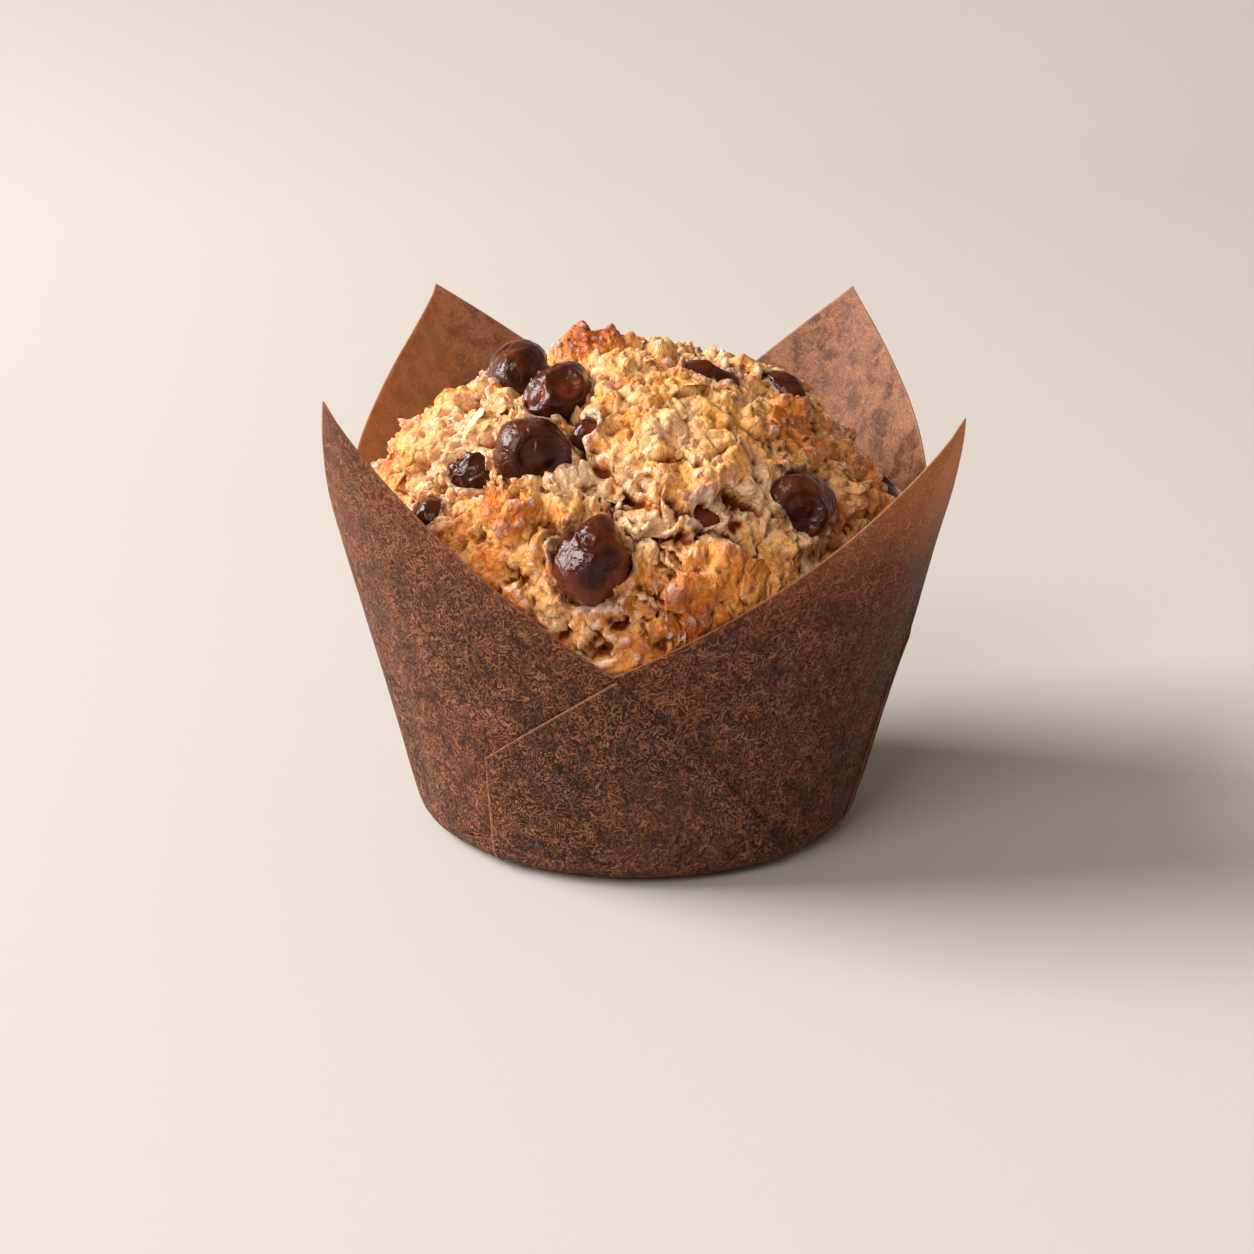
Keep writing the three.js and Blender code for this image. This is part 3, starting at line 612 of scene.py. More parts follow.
def plate_share(toward, index, ragged_edge):
    """Distance from a plate's middle as a share of its ragged outline, which is a circle with
    three and five waves, with the turn round it."""
    azimuth, polar, length, width, turn, _ = PLATES[index]
    a, b, ahead = on_patch(toward, azimuth, polar, turn, length, width)
    round_turn = np.arctan2(b, a)
    outline = 1 + 0.13 * np.sin(3 * round_turn + index) + 0.09 * np.sin(5 * round_turn + 2 * index)
    return np.hypot(a, b) / outline + ragged_edge, round_turn, ahead


def plate_lift(toward, ragged_edge):
    """The torn plates of crust: a flat lift inside each ragged outline, and a cliff at its edge."""
    lift = np.zeros(toward.shape[:-1])
    for index, plate in enumerate(PLATES):
        share, _, ahead = plate_share(toward, index, ragged_edge)
        here = plate[5] * (1 - 0.3 * smooth(0.82, 0.98, share)) * (1 - smooth(0.98, 1.05, share))
        lift = np.maximum(lift, np.where(ahead, here, 0))
    return lift


def trench(toward, ragged_edge):
    """The torn gap that opened along the lower left edge of the large middle plate."""
    share, round_turn, ahead = plate_share(toward, 0, ragged_edge)
    along_edge = smooth(0.3, 0.85, np.cos(round_turn + math.radians(75)))
    uneven = 0.55 + 0.75 * noise(toward * DOME_RADIUS, 3.4, 24)
    return 3.2 * along_edge * uneven * np.exp(-((share - 1.09) / 0.075) ** 2) * ahead


def chip_share(toward, chip):
    """Distance from a chip's middle over the dome, as a share of the chip's own outline."""
    azimuth, polar, across, along, _, turn, _, _ = chip
    a, b, ahead = on_patch(toward, azimuth, polar, turn, across, along)
    return np.where(ahead, np.hypot(a, b), 9), np.arctan2(b, a)


def blurred(field, passes):
    """A grid softened by averaging each cell with its neighbours, several times."""
    for _ in range(passes):
        padded = np.pad(field, 1, mode="edge")
        field = (padded[:-2, 1:-1] + padded[2:, 1:-1] + padded[1:-1, :-2] + padded[1:-1, 2:]
                 + 2 * padded[1:-1, 1:-1]) / 6
    return field


# The dome's grid: a square laid on a disc so that its cells stay even, then over the dome.
SIDE = 300
line = np.linspace(-1, 1, SIDE)
u, v = np.meshgrid(line, line, indexing="ij")
wide = np.abs(u) > np.abs(v)
safe_u, safe_v = np.where(wide, u, 1), np.where(wide, 1, np.where(v == 0, 1, v))
disc_radius = np.where(wide, u, v)
disc_turn = np.where(wide, math.pi / 4 * v / safe_u, math.pi / 2 - math.pi / 4 * u / safe_v)
disc_x, disc_y = disc_radius * np.cos(disc_turn), disc_radius * np.sin(disc_turn)
disc = np.hypot(disc_x, disc_y)
dome_polar = 2 * np.arcsin(np.clip(disc * math.sin(math.radians(46)), 0, 1))
dome_azimuth = np.arctan2(disc_y, disc_x)
toward = np.stack([np.sin(dome_polar) * np.cos(dome_azimuth),
                   np.sin(dome_polar) * np.sin(dome_azimuth), np.cos(dome_polar)], -1)
skin_place = toward * DOME_RADIUS

# The crust's height in layers: clumps, plates, nuggets of three sizes and ridges. slab is 1 on a
# plate, where all is smoother, and rough is 1 where the batter stayed coarse.
coarse = crust_lift(toward)
ragged = 0.09 * noise(skin_place, 3.0, 20) + 0.07 * noise(skin_place, 1.6, 21)
ragged = ragged + 0.04 * noise(skin_place, 0.8, 22)
plates = plate_lift(toward, ragged)
slab = smooth(0.2, 1.0, plates)
bent = skin_place + 1.7 * noise_shift(skin_place, 4.4, 100) + 0.5 * noise_shift(skin_place, 1.5, 104)
broad, _ = nuggets(bent, 4.8, 110, 1.5, 0.95)
small, tone = nuggets(bent + 0.35 * noise_shift(skin_place, 0.8, 107), 2.35, 120, 1.35, 0.75)
fine, _ = nuggets(bent, 1.2, 125, 0.66, 0.3)
ridges = 1 - np.abs(noise(bent, 1.9, 130))
rough = smooth(-0.5, 0.5, noise(skin_place, 6.5, 131)) * (1 - 0.75 * slab)
rough = rough * (1 - 0.5 * smooth(0.1, 0.9, broad))
calm = 1 - 0.6 * np.exp(-(angle_from(toward, -172, 8) / 0.11) ** 2)
lift = coarse * (0.85 - 0.2 * slab) + 1.25 * plates + (1 - 0.3 * slab) * broad * calm
middling = (0.36 - 0.22 * slab + 0.75 * rough) * small
lift = lift + (middling + (0.28 - 0.16 * slab + 0.6 * rough) * fine) * calm
lift = lift + (0.45 - 0.3 * slab) * ridges ** 2 - 0.25
lift = lift - trench(toward, ragged)
# Raised scraps of crust: azimuth, degrees down, width in degrees, and height.
SCRAPS = [(-95, 1.6, 4.6, 1.6), (-73, 63.5, 8, 1.2), (-73, 58, 4.2, 1.2), (-64, 58.5, 3.5, 1.0)]
for azimuth, polar, width, height in SCRAPS:
    apart = np.degrees(angle_from(toward, azimuth, polar))
    apart = apart + 1.2 * noise(skin_place, 1.8, 135)
    lift = lift + height * (1 - smooth(0.45 * width, 1.15 * width, apart))

# Oats in the batter: flat flakes pressed into the crust, each a stamp that shows where it stands
# above what is already there. tone gives each its own shade, and streak runs across it.
STAMPS = 420
stamp_index = np.arange(STAMPS)
stamp_middles = direction(stamp_index * GOLDEN_TURN + 30 * draw(stamp_index, 31),
                          94 * np.sqrt((stamp_index + draw(stamp_index, 32)) / STAMPS))
flat_toward = toward.reshape(-1, 3)
flat_lift, flat_base = lift.reshape(-1).copy(), lift.reshape(-1)
flat_tone, flat_streak = tone.reshape(-1).copy(), np.zeros(SIDE * SIDE)
for k in range(STAMPS):
    half_length = 1.4 + 1.8 * draw(k, 34) ** 1.5
    half_width = half_length * (0.5 + 0.3 * draw(k, 35))
    near = np.nonzero(flat_toward @ stamp_middles[k] > math.cos((half_length + 0.4) / DOME_RADIUS))[0]
    if not len(near):
        continue
    local = flat_toward[near] @ standing(stamp_middles[k], 360 * draw(k, 36)) * DOME_RADIUS
    a, b = local[:, 0] / half_length, local[:, 1] / half_width
    round_turn = np.arctan2(b, a)
    share = np.hypot(a, b) * (1 + 0.1 * np.sin(3 * round_turn + k) + 0.07 * np.sin(7 * round_turn + 2 * k))
    free = 1 - 0.6 * slab.reshape(-1)[near].mean()
    level = np.quantile(flat_base[near], 0.36 + (0.1 + 0.26 * free) * draw(k, 37))
    slopes = 0.7 * free * ((draw(k, 38) - 0.5) * 1.3 * a + (draw(k, 39) - 0.5) * 1.1 * b)
    form = 0.2 * a * a - 0.1 * np.exp(-(b / 0.12) ** 2) - 3.0 * smooth(0.97, 1.1, share)
    stamp = level + form + slopes + 0.036 * flat_base[near]
    higher = stamp > flat_lift[near]
    hit = near[higher]
    flat_lift[hit] = stamp[higher]
    flat_tone[hit] = draw(k, 40)
    flat_streak[hit] = b[higher]
lift, tone, streak = (field.reshape(SIDE, SIDE) for field in (flat_lift, flat_tone, flat_streak))

# No crag stands like a spike, the knob on top is rounded, and holes open where the crumb tore.
# Then fine grain, pores, and the crust's dip under each chip with a torn collar of crumb round it.
lift = np.minimum(lift, blurred(lift, 10) + 0.85)
knob = np.exp(-(angle_from(toward, -160, 5.5) / 0.15) ** 4)
lift = lift + 0.9 * knob * (blurred(lift, 50) + 1.1 + 0.35 * broad + 0.5 * small + 0.4 * fine - lift)
# Holes: azimuth, degrees down, width in degrees, and depth.
HOLES = [
    (-93, 83.6, 2.8, 3.2), (-86, 56.5, 1.9, 2.0), (-96, 51.5, 1.7, 1.8), (-80, 61, 1.6, 1.8),
    (-67, 66, 1.6, 1.6), (-97, 88, 2.6, 3), (-101, 79, 1.6, 1.8), (-86, 88, 2, 2), (60, 70, 2.2, 2),
    (150, 60, 2, 1.8), (15, 60, 2, 1.8),
]
for azimuth, polar, width, deep in HOLES:
    apart = np.degrees(angle_from(toward, azimuth, polar))
    lift = lift - deep * (1 - smooth(0.4 * width, 1.3 * width, apart + 0.8 * noise(skin_place, 1.6, 137)))
lift = lift + (0.2 - 0.1 * slab) * noise(skin_place, 1.3, 51) + 0.1 * noise(skin_place, 0.7, 52)
pores = noise(skin_place, 1.3, 53)
lift = lift - 0.7 * smooth(0.5, 0.8, pores)
chip_rim = np.zeros_like(lift)
NARROWED = {5: 0.85, 9: 0.62}  # the crust closes over the edges of these chips
for index, chip in enumerate(CHIPS):
    share, around = chip_share(toward, chip)
    frayed = 0.17 * noise(skin_place, 2.2, 140 + index) + 0.09 * noise(skin_place, 1.0, 170 + index)
    torn = (share + min(1, chip[2] / 7) * frayed) / NARROWED.get(index + 1, 1)
    collar = np.exp(-((torn - 1.06) / 0.13) ** 2) * (0.35 + 0.65 * np.sin(1.5 * around + index) ** 2)
    lift = lift + 1.7 * collar + 0.7 * np.exp(-((torn - 1.3) / 0.35) ** 2)
    sunk = 1 - smooth(0.68, 0.9, torn)
    lift = lift * (1 - sunk) + sunk * (np.minimum(lift, -0.8) - 1.6)
    chip_rim = np.maximum(chip_rim, np.exp(-((share - 1.02) / 0.2) ** 2))
lift = np.minimum(lift, blurred(lift, 14) + 1.1)


def over_dome(toward, lift, shift=0.0, hollow=0.0):
    """The points at a height over the dome, kept clear of the paper where it stands beside. There
    the crust is pressed flat but for its hollows."""
    points = off_dome(toward, lift) + shift
    azimuth = np.degrees(np.arctan2(points[..., 1], points[..., 0]))
    limit = paper_radius(azimuth, points[..., 2]) + paper_waves(azimuth, points[..., 2]) - 0.75 - hollow
    across = np.maximum(np.hypot(points[..., 0], points[..., 1]), 1e-6)
    pull = np.minimum(1, limit / across)
    points[..., 0] *= pull
    points[..., 1] *= pull
    return points


# A sideways bend of the finished crust folds its crags over here and there, as torn batter does.
bend = 0.42 * noise_shift(skin_place + lift[..., None] * toward, 2.4, 150)
bend = bend + 0.22 * noise_shift(skin_place + lift[..., None] * toward, 1.1, 154)
inside_rim = smooth(0, 0.02, 1 - disc)[..., None]
near_level = lift - blurred(lift, 30)
dome = over_dome(toward, lift, bend * inside_rim, np.maximum(0, 0.5 - near_level) * inside_rim[..., 0])
wide_level = lift - blurred(lift, 260)
close_level = lift - blurred(lift, 5)
near_level, wide_level = near_level / near_level.std(), wide_level / wide_level.std()
close_level = np.clip(close_level / close_level.std(), -3, 3)

# Below the dome the crumb's side follows the cup down to a flat foot.
grid = np.arange(SIDE * SIDE).reshape(SIDE, SIDE)
loop = np.concatenate([grid[:-1, 0], grid[-1, :-1], grid[:0:-1, -1], grid[0, :0:-1]])
loop_azimuth = np.degrees(dome_azimuth.reshape(-1)[loop])
side_rings = [on_paper(loop_azimuth, np.full_like(loop_azimuth, height), -0.85)
              for height in (28.0, 22.0, 14.0, 7.0, 3.2)]
side_turn = np.radians(loop_azimuth)
side_rings.append(np.stack([26.2 * np.cos(side_turn), 26.2 * np.sin(side_turn), 0 * side_turn + 0.9], -1))
around = len(loop)
ring_ids = [loop] + [SIDE * SIDE + k * around + np.arange(around) for k in range(len(side_rings))]
side_quads = [np.stack([lower, np.roll(lower, -1), np.roll(upper, -1), upper], -1)
              for upper, lower in zip(ring_ids, ring_ids[1:])]
foot = SIDE * SIDE + len(side_rings) * around
last = ring_ids[-1]
foot_faces = np.stack([np.roll(last, -1), last, 0 * last + foot], -1)
crumb_points = np.concatenate([dome.reshape(-1, 3), *side_rings, [[0, 0, 0.9]]])
crumb_quads = np.concatenate([grid_quads(SIDE, SIDE), *side_quads])
crumb = make_piece("oat_crumb", crumb_points, crumb_quads, foot_faces)
spare = len(crumb_points) - SIDE * SIDE

# Where the crust is browned: on what stands highest, and in a few places that caught the heat.
toast = 0.3 * smooth(-0.6, 1.8, wide_level) + 0.42 * smooth(0.1, 2.2, near_level)
toast = toast + 0.25 * smooth(0.3, 1.7, -wide_level)
# Browned places: azimuth, degrees down, width in degrees, and amount.
BROWNED = [
    (-165, 7, 9, 1.5), (-170, 58, 8, 1.2), (-35, 47, 6, 1.1), (-63, 45, 3, 0.7), (-96, 62, 5, 0.4),
    (-82, 85, 14, 0.95), (-119, 77, 13, 0.7), (-62, 82, 12, 0.4), (-112, 63, 6, 0.45), (-21, 60, 10, 0.4),
    (-40, 22, 6, 0.4), (75, 60, 14, 0.6), (120, 50, 10, 0.6), (20, 70, 14, 0.5), (150, 75, 14, 0.5),
    (-15, 52, 24, 0.2),
]
for azimuth, polar, width, amount in BROWNED:
    apart = np.degrees(angle_from(toward, azimuth, polar))
    toast = toast + amount * np.exp(-(apart / width) ** 2) * (0.25 + 0.75 * smooth(-0.8, 0.9, near_level))
# Places where pale crumb shows, torn open: azimuth, degrees down, and width in degrees.
TORN = [(-93, 58, 7), (-104, 54, 6), (-58, 59, 6), (-73, 65, 5), (-86, 66, 6), (-50, 70, 6)]
torn_crumb = np.zeros_like(lift)
for azimuth, polar, width in TORN:
    apart = np.degrees(angle_from(toward, azimuth, polar))
    torn_crumb = np.maximum(torn_crumb, np.exp(-(apart / width) ** 2))
toast = toast - 0.5 * torn_crumb + 0.03 * slab
# level and crease, each place's height against its neighbours, carry the painted shade and highlight.
for name, field, below in (("toast", toast, 0.0), ("level", near_level, 0.0), ("crease", close_level, 0.0),
                           ("tone", tone, 0.5), ("streak", streak, 0.0), ("chip_rim", chip_rim, 0.0)):
    set_values(crumb, name, np.concatenate([field.ravel(), np.full(spare, below)]))


# Crumb finish: pale where the crumb tore, golden on the face of the crust and orange-brown where it
# is toasted. Painted shade darkens the hollows, creases and deep holes, and a painted highlight pales
# the crests of the crags. Each oat has its own tone and fine lengthwise lines, under a thin baked glaze.
def crumb_finish(name, stray_oats):
    material, tree, shader = new_material(name)
    place = add_node(tree, "ShaderNodeTexCoord").outputs["Object"]
    level, toast, tone = (read_values(tree, field) for field in ("level", "toast", "tone"))
    crease, streak = read_values(tree, "crease"), read_values(tree, "streak")
    blotch = noise_node(tree, place, 300, 4.0, 0.3, 0.6)
    wander = noise_node(tree, place, 80, 2.0)
    browning = math_node(tree, "ADD", toast, times(tree, math_node(tree, "SUBTRACT", blotch, 0.5), 0.9))
    browning = math_node(tree, "ADD", browning, times(tree, math_node(tree, "SUBTRACT", wander, 0.5), 0.7))
    pale = mix_colour(tree, tone, srgb(220, 172, 124), srgb(236, 206, 174))
    golden = mix_colour(tree, tone, srgb(216, 140, 54), srgb(238, 184, 116))
    colour = mix_colour(tree, remap(tree, browning, -0.2, 0.25), pale, golden)
    colour = mix_colour(tree, remap(tree, browning, 0.3, 0.8), colour, srgb(202, 112, 32))
    colour = mix_colour(tree, remap(tree, browning, 0.7, 1.35), colour, srgb(150, 70, 16))
    # Painted shade: where the crust lies below its neighbours it is painted deep orange-brown.
    colour = mix_colour(tree, remap(tree, level, -2.0, 0.05, 0.85, 0), colour, srgb(134, 57, 5))
    # Painted highlight: where the crust stands above its neighbours it is painted paler.
    crest_highlight_colour = mix_colour(tree, 0.5, colour, srgb(250, 228, 206))
    colour = mix_colour(tree, remap(tree, level, 0.2, 1.8, 0, 0.35), colour, crest_highlight_colour)
    # Painted shade, near black, in the deepest holes.
    colour = mix_colour(tree, remap(tree, level, -3.2, -1.5, 0.9, 0), colour, srgb(50, 15, 1))
    # Painted shade in the fine creases, and a painted highlight on the fine crests.
    colour = mix_colour(tree, remap(tree, crease, -1.9, -0.1, 0.8, 0), colour, srgb(138, 61, 5))
    colour = mix_colour(tree, remap(tree, crease, 0.4, 2.0, 0, 0.6), colour, srgb(244, 222, 202))
    lines = math_node(tree, "SINE", times(tree, streak, 26))
    on_flake = remap(tree, math_node(tree, "ABSOLUTE", streak), 0.0, 0.05)
    lined = times(tree, remap(tree, lines, -0.2, 1.0), times(tree, on_flake, 0.1))
    colour = mix_colour(tree, lined, colour, srgb(168, 104, 48))
    specks = remap(tree, noise_node(tree, place, 1500, 1.0), 0.7, 0.78)
    colour = mix_colour(tree, times(tree, specks, 0.5), colour, srgb(118, 74, 42))
    if not stray_oats:
        stain = times(tree, read_values(tree, "chip_rim"), remap(tree, blotch, 0.4, 0.6))
        colour = mix_colour(tree, times(tree, stain, 0.85), colour, srgb(84, 42, 26))
    tree.links.new(colour, shader.inputs["Base Color"])
    tree.links.new(remap(tree, blotch, 0.3, 0.7, 0.28, 0.56), shader.inputs["Roughness"])
    shader.inputs["Specular IOR Level"].default_value = 0.3
    shader.inputs["Subsurface Weight"].default_value = 0.18
    shader.inputs["Subsurface Radius"].default_value = (1.0, 0.42, 0.14)
    shader.inputs["Subsurface Scale"].default_value = 0.0008
    swayed = bent_place(tree, place, 700.0, 2.0, 0.0012)
    beads = add_node(tree, "ShaderNodeTexVoronoi", {"Vector": swayed, "Scale": 900.0}).outputs["Distance"]
    grain = math_node(tree, "SUBTRACT", noise_node(tree, place, 900, 5.0, 0.3, 0.65),
                      times(tree, times(tree, beads, beads), 0.9))
    grain = math_node(tree, "ADD", grain, times(tree, times(tree, lines, on_flake), 0.035))
    add_bump(tree, shader, grain, 0.95, 0.0007)
    return material


crumb.data.materials.append(crumb_finish("crumb", False))
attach(crumb, "root")
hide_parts("muffin_crumb")

# Paper that touches the crumb is damp with fat; its inner face is painted lighter, for light shining through.
paper_place = np.concatenate(case_points)
damp_top = paper_place[:, 2] + 3 * noise(paper_place, 9.0, 61)
beside = smooth(1, 5, paper_place[:, 2]) * (1 - smooth(38, 46, damp_top))
damp_values = beside * smooth(-0.35, 0.35, noise(paper_place, 11.0, 62) + 0.4 * noise(paper_place, 4.0, 63))
inner_values = np.zeros(len(paper_place))
inner_values[:columns * rows] = np.tile(np.arange(rows) >= outer_rows, columns)
set_values(paper, "damp", damp_values)
set_values(paper, "inner", inner_values)


# Loose oats: whole flakes and broken bits baked onto the crust, each a thin curled lens.
FLAKES = 230
flake_index = np.arange(FLAKES)
flake_toward = direction(flake_index * GOLDEN_TURN + 60 * draw(flake_index, 71),
                         84 * np.sqrt((flake_index + draw(flake_index, 72)) / FLAKES))
clear = np.ones(FLAKES, bool)
for chip in CHIPS:
    share, _ = chip_share(flake_toward, chip)
    clear &= share > 1.45
clear &= np.degrees(angle_from(flake_toward, -172, 8)) > 11
flake_spots = off_dome(flake_toward, np.zeros(FLAKES))
flake_sides = np.degrees(np.arctan2(flake_spots[:, 1], flake_spots[:, 0]))
flake_room = paper_radius(flake_sides, flake_spots[:, 2]) - np.hypot(flake_spots[:, 0], flake_spots[:, 1])
clear &= (flake_room > 3.6) | (flake_spots[:, 2] > edge_height(flake_sides) + 3)
flake_toward, flake_index = flake_toward[clear], flake_index[clear]
count = len(flake_index)


def lift_at(toward):
    """The finished crust's height and browning at given directions, read from the dome's grid."""
    found = np.empty(len(toward), int)
    for start in range(0, len(toward), 40):
        part = toward[start:start + 40]
        found[start:start + 40] = np.argmax(part @ flat_toward.T, axis=1)
    return blurred(lift, 6).reshape(-1)[found], toast.reshape(-1)[found]


flake_lift, flake_toast = lift_at(flake_toward)
turns = np.linspace(0, 2 * math.pi, 14, endpoint=False)
ring_shares = np.array([0.35, 0.7, 0.93, 1.0])
WHOLE_SHARE = 0.22  # share of the flakes that are whole; the rest are bits
own_size = draw(flake_index, 74)
half_length = np.where(draw(flake_index, 73) < WHOLE_SHARE, 1.9 + 0.9 * own_size, 0.7 + 0.8 * own_size)
half_width = half_length * (0.55 + 0.22 * draw(flake_index, 75))
outline = (1 + 0.12 * np.sin(3 * turns[None, :] + flake_index[:, None])
           + 0.1 * np.sin(5 * turns[None, :] + 2.3 * flake_index[:, None]))
flake_quads, flake_tris, flake_points, flake_values = [], [], [], []
per_side = len(ring_shares) * len(turns) + 1
for side in (1, -1):
    xs = half_length[:, None, None] * ring_shares[None, :, None] * (np.cos(turns) * outline)[:, None, :]
    ys = half_width[:, None, None] * ring_shares[None, :, None] * (np.sin(turns) * outline)[:, None, :]
    curl = (0.3 * draw(flake_index, 76) - 0.1)[:, None, None]
    twist = (draw(flake_index, 77) - 0.5)[:, None, None] * 0.4
    thick = 0.2 * (1 - (ring_shares ** 6)[None, :, None] * 0.75)
    groove = -0.07 * np.exp(-(ys / (0.22 * half_width[:, None, None])) ** 2) if side == 1 else 0
    zs = curl * xs * xs / half_length[:, None, None] + twist * xs * ys + side * thick + groove
    points = np.stack([xs, ys, zs + 0 * xs], -1).reshape(count, -1, 3)
    centre = np.zeros((count, 1, 3))
    centre[:, 0, 2] = side * 0.24 - (0.07 if side == 1 else 0)
    flake_points.append(np.concatenate([points, centre], 1))
    across = np.concatenate([(ys / half_width[:, None, None]).reshape(count, -1), np.zeros((count, 1))], 1)
    flake_values.append(across)
flake_local = np.concatenate(flake_points, 1)
tilts = (np.stack([draw(flake_index, 78), draw(flake_index, 79)], -1) - 0.5) * 0.7
placed = np.empty_like(flake_local)
flake_origin = over_dome(flake_toward, flake_lift + 0.02)
for k in range(count):
    ax, ay = tilts[k]
    lean = np.array([[math.cos(ay), 0, math.sin(ay)], [0, 1, 0], [-math.sin(ay), 0, math.cos(ay)]])
    lean = np.array([[1, 0, 0], [0, math.cos(ax), -math.sin(ax)], [0, math.sin(ax), math.cos(ax)]]) @ lean
    spin = standing(np.array([0, 0, 1.0]), 360 * draw(int(flake_index[k]), 80))
    matrix = standing(flake_toward[k], 0) @ lean @ spin
    placed[k] = flake_local[k] @ matrix.T + flake_origin[k]
n = len(turns)
r = np.arange(len(ring_shares) - 1)[:, None]
t = np.arange(n)[None, :]
after = (t + 1) % n
top = np.stack([r * n + t, (r + 1) * n + t, (r + 1) * n + after, r * n + after], -1).reshape(-1, 4)
rim = (len(ring_shares) - 1) * n + np.arange(n)
rim_next = (len(ring_shares) - 1) * n + (np.arange(n) + 1) % n
one_quads = np.concatenate([top, top[:, ::-1] + per_side,
                            np.stack([rim, rim + per_side, rim_next + per_side, rim_next], -1)])
fan = np.arange(n)
fan_next = (fan + 1) % n
one_tris = np.concatenate([np.stack([0 * fan + per_side - 1, fan, fan_next], -1),
                           np.stack([0 * fan + 2 * per_side - 1, fan_next + per_side, fan + per_side], -1)])
shift = (np.arange(count) * 2 * per_side)[:, None, None]
oats = make_piece("loose_oats", placed.reshape(-1, 3), (one_quads[None] + shift).reshape(-1, 4),
                  (one_tris[None] + shift).reshape(-1, 3))
per_flake = 2 * per_side
set_values(oats, "streak", np.concatenate(flake_values, 1))
set_values(oats, "tone", np.repeat(draw(flake_index, 81), per_flake))
# Flat level and crease values, so the oats get almost none of the painted shade and highlight.
set_values(oats, "crease", np.full(count * per_flake, 0.4))
set_values(oats, "level", np.full(count * per_flake, 0.3))
own_toast = np.clip(flake_toast + 0.2 * draw(flake_index, 82) - 0.1, -0.2, 1.2)
set_values(oats, "toast", np.repeat(own_toast, per_flake))
oats.data.materials.append(crumb_finish("oat_flakes", True))
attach(oats, "root")


# Chocolate chips: dark chips that melted in the oven and set again, with a wrinkled glossy skin.
chip_material, tree, shader = new_material("chocolate")
place = add_node(tree, "ShaderNodeTexCoord").outputs["Object"]
bloom = noise_node(tree, place, 190, 3.0, 0.5)
wrinkle = noise_node(tree, place, 420, 3.0, 1.6)
dark = mix_colour(tree, remap(tree, bloom, 0.35, 0.7), srgb(48, 16, 6), srgb(78, 34, 17))
# Painted glow: reddish patches, placed by a noise, stand in for light shining through thin chocolate.
dark = mix_colour(tree, times(tree, read_values(tree, "painted_glow"), 0.4), dark, srgb(124, 50, 20))
tree.links.new(dark, shader.inputs["Base Color"])
tree.links.new(remap(tree, bloom, 0.3, 0.75, 0.06, 0.22), shader.inputs["Roughness"])
shader.inputs["Specular IOR Level"].default_value = 0.24
add_bump(tree, shader, wrinkle, 0.45, 0.0007)

chip_around, chip_bands = 84, 52
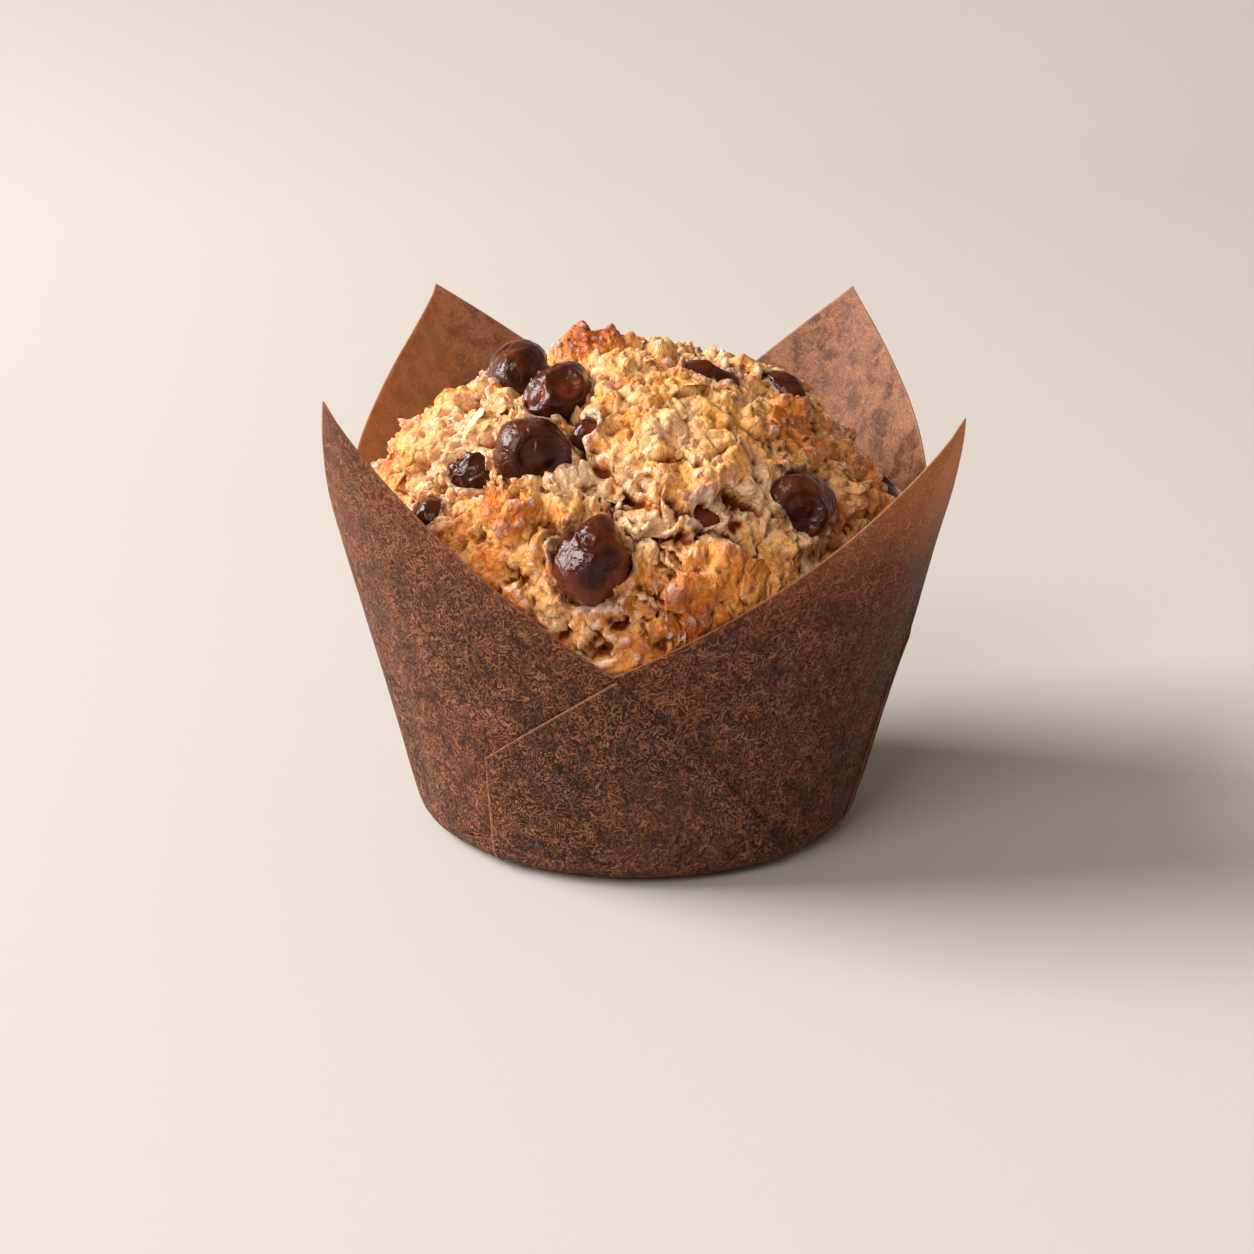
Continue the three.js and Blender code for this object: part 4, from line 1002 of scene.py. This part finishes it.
# By the number of the chip: how wrinkled it is, and its dents, each with the direction it faces
# as azimuth and degrees down, its width and its depth as shares of the chip's size.
WRINKLED = {1: 1.0, 2: 2.2, 3: 0.5, 5: 3.4, 7: 2.2, 8: 1.5, 9: 2.0}
DENTED = {1: [(-74, 70, 0.36, 0.1)], 2: [(-70, 55, 0.32, 0.13), (-150, 74, 0.32, 0.1)],
          3: [(-66, 84, 0.38, 0.2)], 7: [(-60, 100, 0.3, 0.06)], 8: [(-82, 92, 0.34, 0.14)]}
for index, chip in enumerate(CHIPS):
    azimuth, polar, across, along, thick, turn, proud, taper = chip
    down = np.linspace(0, math.pi, chip_bands + 2)[1:-1][None, :]
    spin = np.linspace(0, 2 * math.pi, chip_around, endpoint=False)[:, None]
    uneven = 1 + 0.07 * np.sin(2 * spin + index) + 0.05 * np.sin(3 * spin + 2 * index)
    nib = np.maximum(0, np.sin(down) * np.sin(spin))
    shape = np.stack([
        across / 2 * np.sin(down) * np.cos(spin) * uneven * (1 - 0.8 * taper * nib ** 2),
        along / 2 * np.sin(down) * np.sin(spin) * uneven * (1 + taper * nib ** 4),
        thick / 2 * np.cos(down) + 0 * spin,
    ], -1)
    poles = np.array([[0, 0, thick / 2], [0, 0, -thick / 2]])
    body = np.concatenate([shape.reshape(-1, 3), poles])
    out = body / np.array([across, along, thick]) ** 2
    out = out / np.linalg.norm(out, axis=1, keepdims=True)
    spot = body + 31.0 * index
    flow = spot + 0.9 * noise_shift(spot, 2.4, 91)
    creased = 1 - np.abs(noise(flow, 2.6, 96))
    crinkled = 1 - np.abs(noise(flow, 1.15, 97))
    size = min(across, along)
    toward_nib = smooth(-0.3, 0.5, body[:, 1] / along)
    rumpled = WRINKLED.get(index + 1, 0.8) * (0.3 + 0.7 * toward_nib)
    rumpled = rumpled * smooth(-0.5, 0.4, noise(spot, 3.2, 98))
    skin = 0.06 * size * noise(spot, 3.6, 93) + 0.018 * noise(spot, 0.8, 94)
    skin += rumpled * (0.05 * size * (creased ** 3 - 0.5) + 0.022 * size * (crinkled ** 3 - 0.5))
    body = body + out * (skin - 0.02 * size)[:, None]
    lie = standing(direction(azimuth, polar), turn)
    dents = DENTED.get(index + 1, [(360 * draw(index, 201 + k), 25 + 75 * draw(index, 211 + k), 0.34, 0.05)
                                   for k in range(3)])
    for from_azimuth, from_polar, width, deep in dents:
        middle = lie.T @ direction(from_azimuth, from_polar)
        apart = np.linalg.norm(body - middle * np.array([across, along, thick]) / 2, axis=1) / size
        body = body - middle * (deep * size * (1 - smooth(0.5 * width, 1.15 * width, apart)))[:, None]
    body = body @ lie.T + off_dome(direction(azimuth, polar), thick * (proud - 0.5))
    quads = grid_quads(chip_around, chip_bands, wrap_columns=True)[:, ::-1]
    ring = np.arange(chip_around)
    top, bottom = chip_around * chip_bands, chip_around * chip_bands + 1
    caps = np.concatenate([
        np.stack([ring * chip_bands, (ring + 1) % chip_around * chip_bands, 0 * ring + top], -1),
        np.stack([(ring + 1) % chip_around * chip_bands + chip_bands - 1, ring * chip_bands + chip_bands - 1,
                  0 * ring + bottom], -1)])
    piece = make_piece(f"chip_{index + 1:02d}", body, quads, caps)
    # Where the painted reddish glow shows: patches from a noise, not from the chip's thickness.
    set_values(piece, "painted_glow", smooth(0.2, 0.6, noise(spot, 2.6, 95)))
    piece.data.materials.append(chip_material)
    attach(piece, "root")
    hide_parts(f"chocolate_chip_{index + 1:02d}")


bpy.context.view_layer.update()
